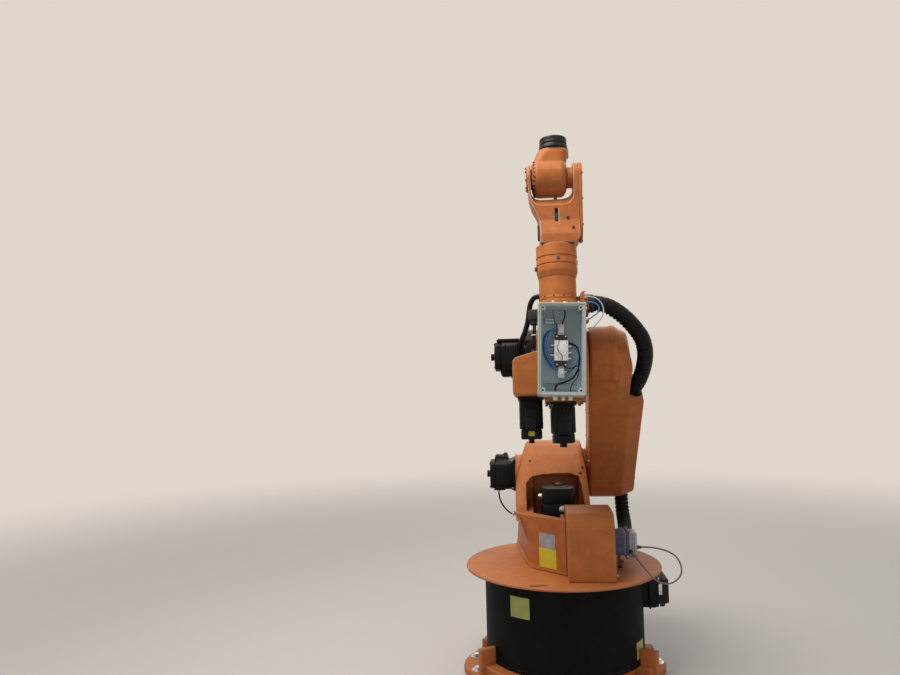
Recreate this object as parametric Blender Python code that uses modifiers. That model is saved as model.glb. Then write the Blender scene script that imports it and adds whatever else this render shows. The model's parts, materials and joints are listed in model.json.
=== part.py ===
"""Six-axis industrial robot arm on a round foot, in metres with +Z up.

The origin lies on the column's turning axis, at the floor.  The arm's own forward
direction is +Y, its link arm is on the +X side and its motors are on the -X side.
At rest the link arm leans back, towards -Y, and the upper arm points almost straight up.
"""

import math

import bmesh
import bpy
from mathutils import Vector

# Gaps between pieces
TOUCH = 0.0003
RUN_GAP = 0.006

# Foot casting, its rings set out from the drum's radius
DRUM_R = 0.287
PLATE_R = DRUM_R + 0.048
PLATE_H = 0.028
PAD_R = DRUM_R + 0.085
PAD_HALF_DEG = 22.0
FIRST_PAD_DEG = -54.0
LOBE_R = DRUM_R + 0.075
LOBE_HALF_DEG = 12.0
SECTORS = 3
BLOCK_TOP = 0.069
BLOCK_IN_R = DRUM_R - 0.042
BLOCK_OUT_R = DRUM_R + 0.043
PAD_WALL_R = DRUM_R - 0.012
LONG_BLOCK_DEG = 66.4
SHORT_BLOCK_DEG = 35.6
LOBE_AFTER_PAD_DEG = 54.0
SCALLOP_R = 0.045
SCALLOP_OUT_R = DRUM_R + 0.065
UPSTAND_TOP = 0.130
UPSTAND_OUT_R = DRUM_R + 0.065
UPSTAND_T = 0.016

# Drum, pillar and turntable
DRUM_WALL = 0.008
PILLAR_R = 0.200
PILLAR_TOP_R = 0.165
DISC_R = DRUM_R + 0.068
DISC_T = 0.010
DISC_TOP = 0.385
DISC_BOTTOM = DISC_TOP - DISC_T
DRUM_BOTTOM = BLOCK_TOP + TOUCH
DRUM_TOP = DISC_BOTTOM - RUN_GAP
SLOT_LENGTH = 0.070
SLOT_WIDTH = 0.022

# Connector box on the drum
INLET_Y = (-0.030, 0.130)
INLET_Z = (0.229, 0.340)
INLET_DEPTH = 0.052
HOOD_DEPTH = 0.040
HOOD_INSET = 0.008

# Axes of the arm
A2_Y = 0.300
A2_Z = 0.675
LINK_LENGTH = 0.650
ARM_OFFSET = 0.155
FLANGE_REACH = 0.140
LINK_LEAN_DEG = 43.8
ARM_LEAN_DEG = 5.5

# Column casting
SILL_Z = 0.575
COLUMN_TOP_R = 0.131
COLUMN_LEFT = 0.165
COLUMN_RIGHT = 0.102
COLUMN_RIB = 0.006
FLANK_Z = (0.470, 0.545)
BAY_FLOOR_Z = 0.410
BAY_X = (-0.100, 0.076)
BAY_FRONT_Y = 0.130
WINDOW_X = (-0.124, 0.088)
WINDOW_TOP_Z = 0.690
A2_BOSS_R = 0.074
A2_BOSS_LEFT = -0.1665
A2_BOSS_RIGHT = COLUMN_RIGHT + 0.009

# Second motor's cable and the thin cords
THIN_CABLE_R = 0.0032
AIR_TUBE_R = 0.0022
BOX_TUBE_R = 0.0030
BUNDLE_R = 0.009
MOTOR_CABLE_Y = 0.270
MOTOR_CABLE_Z = 0.512
CABLE_GLAND_R = 0.009
CABLE_GLAND_LEFT = (0.025, 0.150)

# Motors: side of the square body, length along the shaft
A1_MOTOR = (0.136, 0.250)
A1_MOTOR_AT = (-0.008, 0.018)
A2_MOTOR = (0.129, 0.1045)
A3_MOTOR = (0.114, 0.108)
WRIST_MOTOR = (0.086, 0.140)
REAR_MOTOR = (0.084, 0.132)
MOTOR_STUB = 0.014
PLUG_RISE = 0.014

# Rear cover box on the turntable
COVER_X = (0.008, 0.165)
COVER_Y = (0.078 - DISC_R, -0.100)
COVER_TOP = 0.612
COVER_ROUND = 0.055

# Connector block beside the cover box
BLOCK_X = (0.050, 0.039)
BLOCK_Y = (-0.150, -0.060)
BLOCK_Z = (0.442, 0.524)
PLUG_INSET = 0.006
PATCH_R = 0.0028

# Link arm
LINK_LOW_R = 0.100
LINK_HIGH_R = 0.100
LINK_WAIST = 0.088
LINK_IN_LOW = 0.124
LINK_IN_HIGH = 0.104
LINK_OUT = 0.306
LINK_NECK_OUT = 0.252
LINK_TOP_OUT = 0.222
LINK_SHOULDER_S = LINK_LENGTH - 0.172
LINK_NECK_S = LINK_LENGTH - 0.145
LINK_SLOPE_S = LINK_LENGTH + 0.010
LINK_EDGE = 0.022
LINK_SEAM_X = 0.189
LINK_SEAM_RISE = 0.003
A2_GEAR_R = 0.088
A3_GEAR_R = 0.080
GEAR_FLANGE_R = 0.097
GEAR_FLANGE_T = 0.006
HOSE_R = 0.0275
MOUTH_R = HOSE_R + 0.004
MOUTH_X = 0.270
MOUTH_Y = -0.020
HOSE_START_X = 0.226
HOSE_EXIT_X = 0.260
HOSE_IN = 0.031

# Upper arm, in its own frame: z along the arm, A3 at the origin
HOUSING_REAR = -0.153
HOUSING_FRONT = 0.165
PIVOT_R = 0.094
PIVOT_LEFT = -0.1147
PIVOT_RIGHT = 0.098
TUBE_R = 0.0625
TUBE_LENGTH = 0.077
COLLAR_R = 0.069
COLLAR_LENGTH = 0.114
COLLAR_CONE = 0.020
COLLAR_GROOVES = (0.043, 0.069)
GROOVE = 0.002
TUBE_END = HOUSING_FRONT + TUBE_LENGTH
COLLAR_END = TUBE_END + COLLAR_LENGTH

# Hose clamp on the upper arm
CLAMP_X = (0.072, 0.098)
CLAMP_Z = (0.126, 0.192)
CLAMP_BLOCKS_Z = ((0.110, 0.121), (0.088, 0.102))
CLAMP_DEPTH = 0.060
CLAMP_Y = -ARM_OFFSET - 0.008

# Valve box on the upper arm
BOX_W = 0.150
BOX_H = 0.294
BOX_D = 0.090
BOX_WALL = 0.011
BOX_BACK = 0.006
BOX_MID_X = -0.001
BOX_MID_Z = -0.016
BOX_BACK_Y = -0.2255
BOX_TILT_DEG = 2.0
VALVE_HALF = 0.022
VALVE_COIL_HALF = 0.010
VALVE_COIL_END = 0.086
DUCT_H = 0.020
DUCT_MID = 0.112

# Fork, wrist and tool flange
FORK_LENGTH = 0.244
WRIST_REACH = COLLAR_END + FORK_LENGTH
FORK_LEFT = -0.091
NECK_LEFT = -0.0545
NECK_COVER_T = 0.006
FORK_SLOT_X = 0.0035
FORK_RIGHT = 0.081
EAR_COVER_T = 0.004
EAR_COVER_R = 0.044
EAR_RIB_DEPTH = 0.047
BELT_COVER_T = 0.014
EAR_R = 0.051
BELT_LENGTH = 0.284
BELT_LOW = WRIST_REACH + EAR_R - BELT_LENGTH
VALLEY_X = (-0.0795, 0.0635)
VALLEY_ROUND = 0.038
VALLEY_DEPTH = 0.107
VALLEY_Z = WRIST_REACH - VALLEY_DEPTH
RIDGE_DEPTH = 0.079
FORK_DEPTH = (0.058, 0.042)
WRIST_LEFT = -0.074
WRIST_RIGHT = 0.0405
WRIST_R = 0.066
WRIST_BOSS_R = 0.036
NECK_HALF = (0.051, 0.0415)
WRIST_EDGE = 0.016
FLANGE_R = 0.046
FLANGE_T = 0.040
FLANGE_BORE_R = 0.0315
FLANGE_X = 0.002

ROUND = 36


def clear_scene():
    """Remove what is in the scene."""
    for old in list(bpy.data.objects):
        bpy.data.objects.remove(old, do_unlink=True)


clear_scene()
PARTS = bpy.data.collections.new("industrial_robot_arm")
CUTTERS = bpy.data.collections.new("cutters")
bpy.context.scene.collection.children.link(PARTS)
bpy.context.scene.collection.children.link(CUTTERS)


def finish(name, colour, roughness, metallic):
    """Return a Principled material."""
    made = bpy.data.materials.new(name)
    made.use_nodes = True
    shader = made.node_tree.nodes["Principled BSDF"]
    shader.inputs["Base Color"].default_value = (*colour, 1.0)
    shader.inputs["Roughness"].default_value = roughness
    shader.inputs["Metallic"].default_value = metallic
    return made


ORANGE = finish("orange_paint", (0.60, 0.19, 0.06), 0.45, 0.0)
BLACK = finish("black_paint", (0.015, 0.015, 0.018), 0.40, 0.0)
RUBBER = finish("black_rubber", (0.02, 0.02, 0.02), 0.65, 0.0)
GREY = finish("grey_plastic", (0.55, 0.60, 0.58), 0.50, 0.0)
SILVER = finish("bare_aluminium", (0.62, 0.63, 0.65), 0.35, 0.9)
BLUE = finish("blue_tube", (0.03, 0.16, 0.42), 0.35, 0.0)


def empty(name, parent=None, at=(0.0, 0.0, 0.0), turn=(0.0, 0.0, 0.0)):
    """Return an empty that carries the pieces of one joint."""
    made = bpy.data.objects.new(name, None)
    PARTS.objects.link(made)
    made.parent = parent
    made.location = at
    made.rotation_euler = [math.radians(a) for a in turn]
    return made


COLUMN_AXIS = empty("column_axis")
LINK_AXIS = empty("link_axis", COLUMN_AXIS, (0.0, A2_Y, A2_Z), (LINK_LEAN_DEG, 0.0, 0.0))
ARM_AXIS = empty(
    "arm_axis", LINK_AXIS, (0.0, 0.0, LINK_LENGTH), (-LINK_LEAN_DEG - ARM_LEAN_DEG, 0.0, 0.0)
)
FORK_AXIS = empty("fork_axis", ARM_AXIS, (0.0, -ARM_OFFSET, 0.0))
WRIST_AXIS = empty("wrist_axis", FORK_AXIS, (0.0, 0.0, WRIST_REACH))


def place(name, mesh, parent, paint, at=(0.0, 0.0, 0.0), turn=(0.0, 0.0, 0.0)):
    """Link a mesh as a named piece, or as a helper when it has no paint."""
    made = bpy.data.objects.new(name, mesh)
    if paint is None:
        CUTTERS.objects.link(made)
        made.hide_render = True
        made.display_type = "WIRE"
    else:
        PARTS.objects.link(made)
        mesh.materials.append(paint)
    made.parent = parent
    made.location = at
    made.rotation_euler = [math.radians(a) for a in turn]
    return made


def bevelled(piece, width, segments=2):
    """Round the sharp edges of a piece."""
    rounding = piece.modifiers.new("edges", "BEVEL")
    rounding.width = width
    rounding.segments = segments
    rounding.limit_method = "ANGLE"
    rounding.angle_limit = math.radians(40.0)
    return piece


def combine(piece, how, others):
    """Add Boolean modifiers that join, cut or cross the piece with others."""
    for other in others:
        step = piece.modifiers.new(how.lower(), "BOOLEAN")
        step.operation = how
        step.solver = "EXACT"
        step.object = other
    return piece


def box(name, low, high, parent, paint, round_by=0.0):
    """Return a box between two corners given in its parent's frame."""
    size = [b - a for a, b in zip(low, high)]
    middle = [(a + b) / 2 for a, b in zip(low, high)]
    shape = bmesh.new()
    bmesh.ops.create_cube(shape, size=1.0)
    bmesh.ops.scale(shape, vec=Vector(size), verts=shape.verts)
    mesh = bpy.data.meshes.new(name)
    shape.to_mesh(mesh)
    shape.free()
    made = place(name, mesh, parent, paint, middle)
    if round_by > 0.0:
        bevelled(made, round_by)
    return made


def turned(name, profile, parent, paint, at=(0.0, 0.0, 0.0), turn=(0.0, 0.0, 0.0),
           ring=False, steps=ROUND):
    """Turn a profile of (radius, height) points, outer side downwards, about Z."""
    mesh = bpy.data.meshes.new(name)
    edges = [(i, i + 1) for i in range(len(profile) - 1)]
    if ring:
        edges.append((len(profile) - 1, 0))
    mesh.from_pydata([(r, 0.0, z) for r, z in profile], edges, [])
    made = place(name, mesh, parent, paint, at, turn)
    screw = made.modifiers.new("turn", "SCREW")
    screw.steps = steps
    screw.render_steps = steps
    screw.use_merge_vertices = True
    screw.merge_threshold = 0.0001
    return made


def rod(name, radius, length, parent, paint, at, turn, steps=ROUND):
    """Return a plain round bar that starts at its place and runs along its own Z."""
    profile = [(0.0, length), (radius, length), (radius, 0.0), (0.0, 0.0)]
    return turned(name, profile, parent, paint, at, turn, steps=steps)


TURN_TO_PLUS_X = (0.0, 90.0, 0.0)
TURN_TO_MINUS_X = (0.0, -90.0, 0.0)
TURN_TO_MINUS_Z = (180.0, 0.0, 0.0)
SIDE_VIEW = (90.0, 0.0, 90.0)
FRONT_VIEW = (90.0, 0.0, 0.0)


def outline_piece(name, points, thickness, parent, paint, at, turn=(0.0, 0.0, 0.0)):
    """Fill a flat outline and thicken it evenly to both sides of its plane."""
    curve = bpy.data.curves.new(name + "_outline", "CURVE")
    curve.dimensions = "2D"
    curve.fill_mode = "BOTH"
    curve.extrude = thickness / 2
    line = curve.splines.new("POLY")
    line.points.add(len(points) - 1)
    for spot, (u, v) in zip(line.points, points):
        spot.co = (u, v, 0.0, 1.0)
    line.use_cyclic_u = True
    drawn = bpy.data.objects.new(name + "_outline", curve)
    PARTS.objects.link(drawn)
    seen = drawn.evaluated_get(bpy.context.evaluated_depsgraph_get())
    mesh = bpy.data.meshes.new_from_object(seen)
    bpy.data.objects.remove(drawn, do_unlink=True)
    shape = bmesh.new()
    shape.from_mesh(mesh)
    bmesh.ops.remove_doubles(shape, verts=shape.verts, dist=0.00001)
    bmesh.ops.recalc_face_normals(shape, faces=shape.faces)
    shape.to_mesh(mesh)
    shape.free()
    mesh.materials.clear()
    mesh.name = name
    return place(name, mesh, parent, paint, at, turn)


def ladder(shape, row):
    """Close a ring whose second half mirrors its first, rung by rung."""
    last = len(row) - 1
    for i in range(len(row) // 2 - 1):
        shape.faces.new((row[i], row[i + 1], row[last - i - 1], row[last - i]))


def loft(name, rings, parent, paint, at=(0.0, 0.0, 0.0), turn=(0.0, 0.0, 0.0), rungs=False):
    """Skin a stack of rings that have equal numbers of points, and close both ends."""
    shape = bmesh.new()
    rows = [[shape.verts.new(point) for point in ring] for ring in rings]
    count = len(rows[0])
    for low, high in zip(rows, rows[1:]):
        for i in range(count):
            j = (i + 1) % count
            shape.faces.new((low[i], low[j], high[j], high[i]))
    if rungs:
        ladder(shape, rows[0])
        ladder(shape, rows[-1])
    else:
        ends = [shape.faces.new(rows[0][::-1]), shape.faces.new(rows[-1])]
        bmesh.ops.triangulate(shape, faces=ends)
    bmesh.ops.recalc_face_normals(shape, faces=shape.faces)
    mesh = bpy.data.meshes.new(name)
    shape.to_mesh(mesh)
    shape.free()
    return place(name, mesh, parent, paint, at, turn)


def arc(centre, radius, start_deg, end_deg, steps):
    """Return points on an arc, both ends included."""
    points = []
    for i in range(steps + 1):
        angle = math.radians(start_deg + (end_deg - start_deg) * i / steps)
        points.append((centre[0] + radius * math.cos(angle), centre[1] + radius * math.sin(angle)))
    return points


def soft_ring(z, x0, x1, y0, y1, radius, steps=3):
    """Return a level ring: a rectangle with rounded corners."""
    corners = [
        ((x1 - radius, y1 - radius), 0.0),
        ((x0 + radius, y1 - radius), 90.0),
        ((x0 + radius, y0 + radius), 180.0),
        ((x1 - radius, y0 + radius), 270.0),
    ]
    ring = []
    for centre, start in corners:
        ring += [(x, y, z) for x, y in arc(centre, radius, start, start + 90.0, steps)]
    return ring


def casting(name, sections, parent, paint, at=(0.0, 0.0, 0.0), turn=(0.0, 0.0, 0.0), steps=3):
    """Skin a stack of rounded rectangles (z, x0, x1, y0, y1, corner radius)."""
    return loft(name, [soft_ring(*section, steps) for section in sections], parent, paint, at, turn)


def polar(radius, degrees):
    """Return the plan point at a radius and an angle."""
    angle = math.radians(degrees)
    return (radius * math.cos(angle), radius * math.sin(angle))


def sector(name, start_deg, end_deg, r0, r1, z0, z1, steps=6):
    """Return a helper block bounded by two arcs about the column's axis."""
    outline = arc((0.0, 0.0), r1, start_deg, end_deg, steps)
    outline += arc((0.0, 0.0), r0, end_deg, start_deg, steps)
    return outline_piece(name, outline, z1 - z0, None, None, (0.0, 0.0, (z0 + z1) / 2))


def smooth_path(knots, spacing):
    """Return points at about even spacing on a smooth curve through the knots."""
    spots = [Vector(k) for k in knots]
    spots = [2 * spots[0] - spots[1]] + spots + [2 * spots[-1] - spots[-2]]
    path = []
    for a, b, c, d in zip(spots, spots[1:], spots[2:], spots[3:]):
        count = max(1, round((c - b).length / spacing))
        for i in range(count):
            t = i / count
            path.append(0.5 * (2 * b + (c - a) * t + (2 * a - 5 * b + 4 * c - d) * t ** 2
                               + (3 * b - a - 3 * c + d) * t ** 3))
    path.append(spots[-2])
    return path


def tube(name, knots, radius, parent, paint, sides=3, spacing=None):
    """Return a round tube along a smooth curve through the knots."""
    points = smooth_path(knots, spacing or radius * 1.2)
    curve = bpy.data.curves.new(name, "CURVE")
    curve.dimensions = "3D"
    curve.bevel_depth = radius
    curve.bevel_resolution = sides
    curve.render_resolution_u = 0
    curve.use_fill_caps = True
    line = curve.splines.new("POLY")
    line.points.add(len(points) - 1)
    for spot, point in zip(line.points, points):
        spot.co = (*point, 1.0)
    curve.materials.append(paint)
    made = bpy.data.objects.new(name, curve)
    PARTS.objects.link(made)
    made.parent = parent
    return made


def pad_bump(degrees, middle, half, rise):
    """Return a smooth rise around an angle, nothing beyond its half width."""
    away = abs((degrees - middle + 180.0) % 360.0 - 180.0)
    if away >= half:
        return 0.0
    return rise * 0.5 * (1.0 + math.cos(math.pi * away / half))


def wall_outline(pad):
    """Return the plan of one wall: short block, low wall behind the pad, long block."""
    outer = []
    for radius, start, end in ((BLOCK_OUT_R - 0.006, -SHORT_BLOCK_DEG, -PAD_HALF_DEG),
                               (PAD_WALL_R, -PAD_HALF_DEG + 1.0, PAD_HALF_DEG - 1.0),
                               (BLOCK_OUT_R, PAD_HALF_DEG, LONG_BLOCK_DEG)):
        outer += arc((0.0, 0.0), radius, pad + start, pad + end, max(3, round((end - start) / 6)))
    inner = arc((0.0, 0.0), BLOCK_IN_R, pad + LONG_BLOCK_DEG, pad - SHORT_BLOCK_DEG, 16)
    return outer + inner


def foot():
    """Foot casting: scalloped plate, blocks under the drum and low walls at the pads."""
    outline = []
    for degrees in range(0, 360, 5):
        radius = PLATE_R
        for k in range(SECTORS):
            pad = FIRST_PAD_DEG + k * 360.0 / SECTORS
            radius += pad_bump(degrees, pad, PAD_HALF_DEG * 1.4, PAD_R - PLATE_R)
            radius += pad_bump(degrees, pad + LOBE_AFTER_PAD_DEG, LOBE_HALF_DEG * 1.4, LOBE_R - PLATE_R)
        outline.append(polar(radius, degrees))
    plate = outline_piece("base_foot", outline, PLATE_H, None, ORANGE, (0.0, 0.0, PLATE_H / 2))
    added = []
    root = PLATE_H / 2
    half = math.degrees(UPSTAND_T / 2 / DRUM_R)
    for k in range(SECTORS):
        pad = FIRST_PAD_DEG + k * 360.0 / SECTORS
        tag = f"foot_{k + 1}_"
        wall = outline_piece(tag + "wall", wall_outline(pad), BLOCK_TOP - root, None, None,
                             (0.0, 0.0, (root + BLOCK_TOP) / 2))
        scallop = rod(tag + "scallop", SCALLOP_R, BLOCK_TOP, None, None,
                      (*polar(SCALLOP_OUT_R, pad + LOBE_AFTER_PAD_DEG), 0.0), (0.0, 0.0, 0.0),
                      steps=20)
        combine(wall, "DIFFERENCE", [scallop])
        middle = pad + PAD_HALF_DEG + 1.5 * half
        upstand = sector(tag + "upstand", middle - half, middle + half, DRUM_R + 0.002,
                         UPSTAND_OUT_R, root, UPSTAND_TOP, steps=1)
        added += [wall, upstand]
    return combine(plate, "UNION", added)


def drum():
    """Black drum: a turned shell with a flat top that closes on the pillar."""
    inner = DRUM_R - DRUM_WALL
    hole = PILLAR_TOP_R + TOUCH
    profile = [(hole, DRUM_TOP), (DRUM_R - 0.004, DRUM_TOP), (DRUM_R, DRUM_TOP - 0.004),
               (DRUM_R, DRUM_BOTTOM), (inner, DRUM_BOTTOM), (inner, DRUM_TOP - DRUM_WALL),
               (hole, DRUM_TOP - DRUM_WALL)]
    return turned("base_drum", profile, None, BLACK, ring=True, steps=56)


def pillar():
    """Inner pillar that carries the slewing bearing."""
    bottom = PLATE_H + TOUCH
    top = DISC_BOTTOM - TOUCH
    shoulder = DRUM_TOP - DRUM_WALL - 0.020
    profile = [(0.0, top), (PILLAR_TOP_R, top), (PILLAR_TOP_R, shoulder),
               (PILLAR_R, shoulder - 0.030), (PILLAR_R, bottom), (0.0, bottom)]
    return turned("base_pillar", profile, None, ORANGE)


def inlet_box():
    """Connector box on the drum's side and the hood that plugs into it."""
    inner = DRUM_R + TOUCH - 0.012
    outer = DRUM_R + INLET_DEPTH
    body = box("inlet_box", (inner, INLET_Y[0], INLET_Z[0]), (outer, INLET_Y[1], INLET_Z[1]),
               None, BLACK, 0.004)
    bite = rod("inlet_bite", DRUM_R + TOUCH, INLET_Z[1], None, None, (0.0, 0.0, INLET_Z[0] / 2),
               (0.0, 0.0, 0.0), steps=56)
    combine(body, "DIFFERENCE", [bite])
    box("inlet_hood", (outer + TOUCH, INLET_Y[0] + HOOD_INSET, INLET_Z[0] + HOOD_INSET),
        (outer + HOOD_DEPTH, INLET_Y[1] - HOOD_INSET, INLET_Z[1] - HOOD_INSET),
        None, GREY, 0.005)


def turntable():
    """Round disc that turns with the column, with its oval slot."""
    top = DISC_TOP
    profile = [(0.0, top), (DISC_R - 0.003, top), (DISC_R, top - 0.003),
               (DISC_R, DISC_BOTTOM + 0.003), (DISC_R - 0.003, DISC_BOTTOM), (0.0, DISC_BOTTOM)]
    disc = turned("turntable_disc", profile, COLUMN_AXIS, ORANGE, steps=64)
    half = SLOT_LENGTH / 2 - SLOT_WIDTH / 2
    outline = arc((half, 0.0), SLOT_WIDTH / 2, -90.0, 90.0, 6)
    outline += arc((-half, 0.0), SLOT_WIDTH / 2, 90.0, 270.0, 6)
    slot = outline_piece("disc_slot", outline, DISC_T * 4, COLUMN_AXIS, None,
                         (-0.091, 0.050 - DISC_R, DISC_TOP), (0.0, 0.0, 15.0))
    return combine(disc, "DIFFERENCE", [slot])


def tub_plan(z, front, flank, corner, rear):
    """Return the column's plan at one height, its left flank given front to rear."""
    right = COLUMN_RIGHT + COLUMN_RIB
    cover_left = COVER_X[0] - TOUCH
    cover_front = COVER_Y[1] + TOUCH
    return [(-flank[0], front, z), (-flank[1], 0.100, z), (-flank[2], -0.050, z),
            (corner[0], corner[1], z), (cover_left, rear, z), (cover_left, cover_front, z),
            (right, cover_front, z), (right, front, z)]


def column():
    """Column casting: waisted tub, tapered head above, open bay for the first motor."""
    foot_z = DISC_TOP + TOUCH
    right = COLUMN_RIGHT + COLUMN_RIB
    left = COLUMN_LEFT
    waist, brow = FLANK_Z
    tub = loft("column_casting", [
        tub_plan(foot_z, 0.290, (left + 0.009, left - 0.015, 0.128), (-0.116, -0.092), -0.198),
        tub_plan(foot_z + 0.012, 0.300, (left + 0.004, left - 0.025, 0.124), (-0.113, -0.089), -0.194),
        tub_plan(waist, 0.325, (left - 0.003, left - 0.030, 0.124), (-0.114, -0.086), -0.192),
        tub_plan(brow, 0.355, (left - 0.001, left - 0.005, 0.150), (-0.126, -0.080), -0.190),
        tub_plan(SILL_Z, 0.375, (left, left, left), (-0.128, -0.080), -0.190),
    ], COLUMN_AXIS, ORANGE)
    top = A2_Z + COLUMN_TOP_R
    front = A2_Y + COLUMN_TOP_R
    head = casting("column_head", [
        (SILL_Z - 0.030, -0.0002 - left, right - 0.0002, -0.060, front - 0.050, 0.012),
        (SILL_Z + 0.025, -0.0004 - left, right, -0.030, front - 0.012, 0.014),
        (SILL_Z + 0.070, -0.0004 - left, right, 0.010, front, 0.020),
        (WINDOW_TOP_Z + 0.012, 0.013 - left, right - 0.001, 0.080, front, 0.030),
        (A2_Z + 0.085, 0.031 - left, right - 0.004, 0.165, front - 0.030, 0.036),
        (A2_Z + 0.117, 0.041 - left, COLUMN_RIGHT, 0.225, front - 0.068, 0.030),
        (top, 0.051 - left, COLUMN_RIGHT - 0.004, 0.262, front - 0.100, 0.024),
    ], COLUMN_AXIS, None)
    boss = rod("column_left_boss", A2_BOSS_R, -A2_BOSS_LEFT - 0.100, COLUMN_AXIS, None,
               (-0.100, A2_Y, A2_Z), TURN_TO_MINUS_X)
    right_boss = rod("column_right_boss", GEAR_FLANGE_R + 0.003, 0.050, COLUMN_AXIS, None,
                     (A2_BOSS_RIGHT - 0.050, A2_Y, A2_Z), TURN_TO_PLUS_X)
    gland = rod("column_gland", CABLE_GLAND_R, CABLE_GLAND_LEFT[0], COLUMN_AXIS, None,
                (-CABLE_GLAND_LEFT[1], MOTOR_CABLE_Y, MOTOR_CABLE_Z), TURN_TO_MINUS_X, steps=12)
    combine(tub, "UNION", [head, boss, right_boss, gland])

    def bay_plan(z):
        return [(BAY_X[0], BAY_FRONT_Y, z), (BAY_X[0], -0.050, z), (-0.007, -0.145, z),
                (-0.007, -0.084, z), (BAY_X[1], -0.084, z), (BAY_X[1], BAY_FRONT_Y, z)]

    bay = loft("motor_bay", [bay_plan(BAY_FLOOR_Z), bay_plan(WINDOW_TOP_Z)], COLUMN_AXIS, None)
    outline = [(WINDOW_X[0], SILL_Z), (WINDOW_X[1], SILL_Z), (WINDOW_X[1] - 0.006, 0.660),
               (WINDOW_X[1] - 0.020, 0.690), (0.040, 0.700), (-0.060, 0.696), (-0.104, 0.688),
               (WINDOW_X[0], 0.668)]
    window = outline_piece("bay_window", outline, 0.390, COLUMN_AXIS, None,
                           (0.0, -0.105, 0.0), FRONT_VIEW)
    return combine(tub, "DIFFERENCE", [bay, window])


def servo_motor(name, size, parent, at, turn, plug_deg=0.0, stub_length=MOTOR_STUB):
    """Square servo motor: flange, body, end cap, end stub and a connector box on one side."""
    side, length = size
    h = side / 2
    rim = 0.004
    body_end = length - 0.24 * length

    def square(z, inset, corner):
        reach = h - inset
        return (z, -reach, reach, -reach, reach, corner)

    body = casting(name, [
        square(0.0, 0.0, 0.008), square(0.009, 0.0, 0.008), square(0.009, rim, 0.012),
        square(body_end, rim, 0.012), square(body_end, 2 * rim, 0.012),
        square(length - rim, 2 * rim, 0.012), square(length, 3 * rim, 0.012),
    ], parent, BLACK, at, turn)
    added = []
    if stub_length > 0.0:
        added.append(rod(name + "_stub", side * 0.11, stub_length + 0.010, body, None,
                         (0.0, 0.0, length - 0.010), (0.0, 0.0, 0.0), steps=16))
    seat = h - 2 * rim
    plug = box(name + "_plug", (seat, -side * 0.22, length * 0.28),
               (h + PLUG_RISE, side * 0.22, length * 0.80), None, None)
    plug.parent = empty(name + "_plug_side", body, turn=(0.0, 0.0, plug_deg))
    added.append(plug)
    return combine(body, "UNION", added)


def column_motors():
    """First motor upright in the bay, second motor on the column's left boss."""
    servo_motor("a1_motor", A1_MOTOR, COLUMN_AXIS, (*A1_MOTOR_AT, BAY_FLOOR_Z + TOUCH),
                (0.0, 0.0, 0.0), plug_deg=90.0, stub_length=0.0)
    servo_motor("a2_motor", A2_MOTOR, COLUMN_AXIS,
                (A2_BOSS_LEFT - TOUCH, A2_Y, A2_Z - 0.003), TURN_TO_MINUS_X)


def rear_cover():
    """Cover box on the turntable, with its rounded top edge."""
    low, high = COVER_Y
    bottom = DISC_TOP + TOUCH
    outline = [(high, bottom), (high, COVER_TOP)]
    outline += arc((low + COVER_ROUND, COVER_TOP - COVER_ROUND), COVER_ROUND, 90.0, 180.0, 7)
    outline += [(low, bottom)]
    width = COVER_X[1] - COVER_X[0]
    made = outline_piece("rear_cover_box", outline, width, COLUMN_AXIS, ORANGE,
                         ((COVER_X[0] + COVER_X[1]) / 2, 0.0, 0.0), SIDE_VIEW)
    return bevelled(made, 0.004)


def connector_block():
    """Connector housing beside the cover box and the plug on it."""
    start = COVER_X[1] + TOUCH
    middle = start + BLOCK_X[0]
    box("connector_block", (start, BLOCK_Y[0], BLOCK_Z[0]), (middle, BLOCK_Y[1], BLOCK_Z[1]),
        COLUMN_AXIS, GREY, 0.004)
    box("connector_plug", (middle + TOUCH, BLOCK_Y[0] + PLUG_INSET, BLOCK_Z[0] - 0.010),
        (middle + BLOCK_X[1], BLOCK_Y[1] - PLUG_INSET, BLOCK_Z[1]),
        COLUMN_AXIS, SILVER, 0.006)


def patch_cable():
    """Thin cable that loops out of the plug's side and back into its rear."""
    right = COVER_X[1] + BLOCK_X[0] + BLOCK_X[1] + 3 * TOUCH
    rear = BLOCK_Y[0] + PLUG_INSET - TOUCH
    x, y, z = 0.2315, -0.125, 0.468
    knots = [(right, y, z), (right + 0.008, y, z), (right + 0.017, y, z), (0.298, y - 0.002, z),
             (0.330, y - 0.007, 0.464), (0.362, y - 0.017, 0.455), (0.385, y - 0.026, 0.438),
             (0.396, -0.160, 0.412), (0.393, -0.171, 0.389), (0.377, -0.183, 0.373),
             (0.352, -0.197, 0.364), (0.322, -0.211, 0.368), (0.297, -0.219, 0.383),
             (0.275, -0.211, 0.406), (0.255, -0.194, 0.431), (0.240, -0.175, 0.449),
             (x, rear - 0.014, 0.456), (x, rear - 0.007, 0.456), (x, rear, 0.456)]
    return tube("patch_cable", knots, PATCH_R, COLUMN_AXIS, RUBBER, sides=2, spacing=0.018)


def gear_unit(name, radius, start, stop, parent, at):
    """Round gear unit along +X with a wider flange where it is bolted on."""
    long = stop - start
    profile = [(0.0, long), (radius, long), (radius, GEAR_FLANGE_T), (GEAR_FLANGE_R, GEAR_FLANGE_T),
               (GEAR_FLANGE_R, 0.0), (0.0, 0.0)]
    return turned(name, profile, parent, ORANGE, (start, *at), TURN_TO_PLUS_X)


def a2_gear():
    """Gear unit between the column and the link arm."""
    return gear_unit("a2_gear", A2_GEAR_R, A2_BOSS_RIGHT + TOUCH, LINK_IN_LOW - TOUCH,
                     COLUMN_AXIS, (A2_Y, A2_Z))


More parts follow.
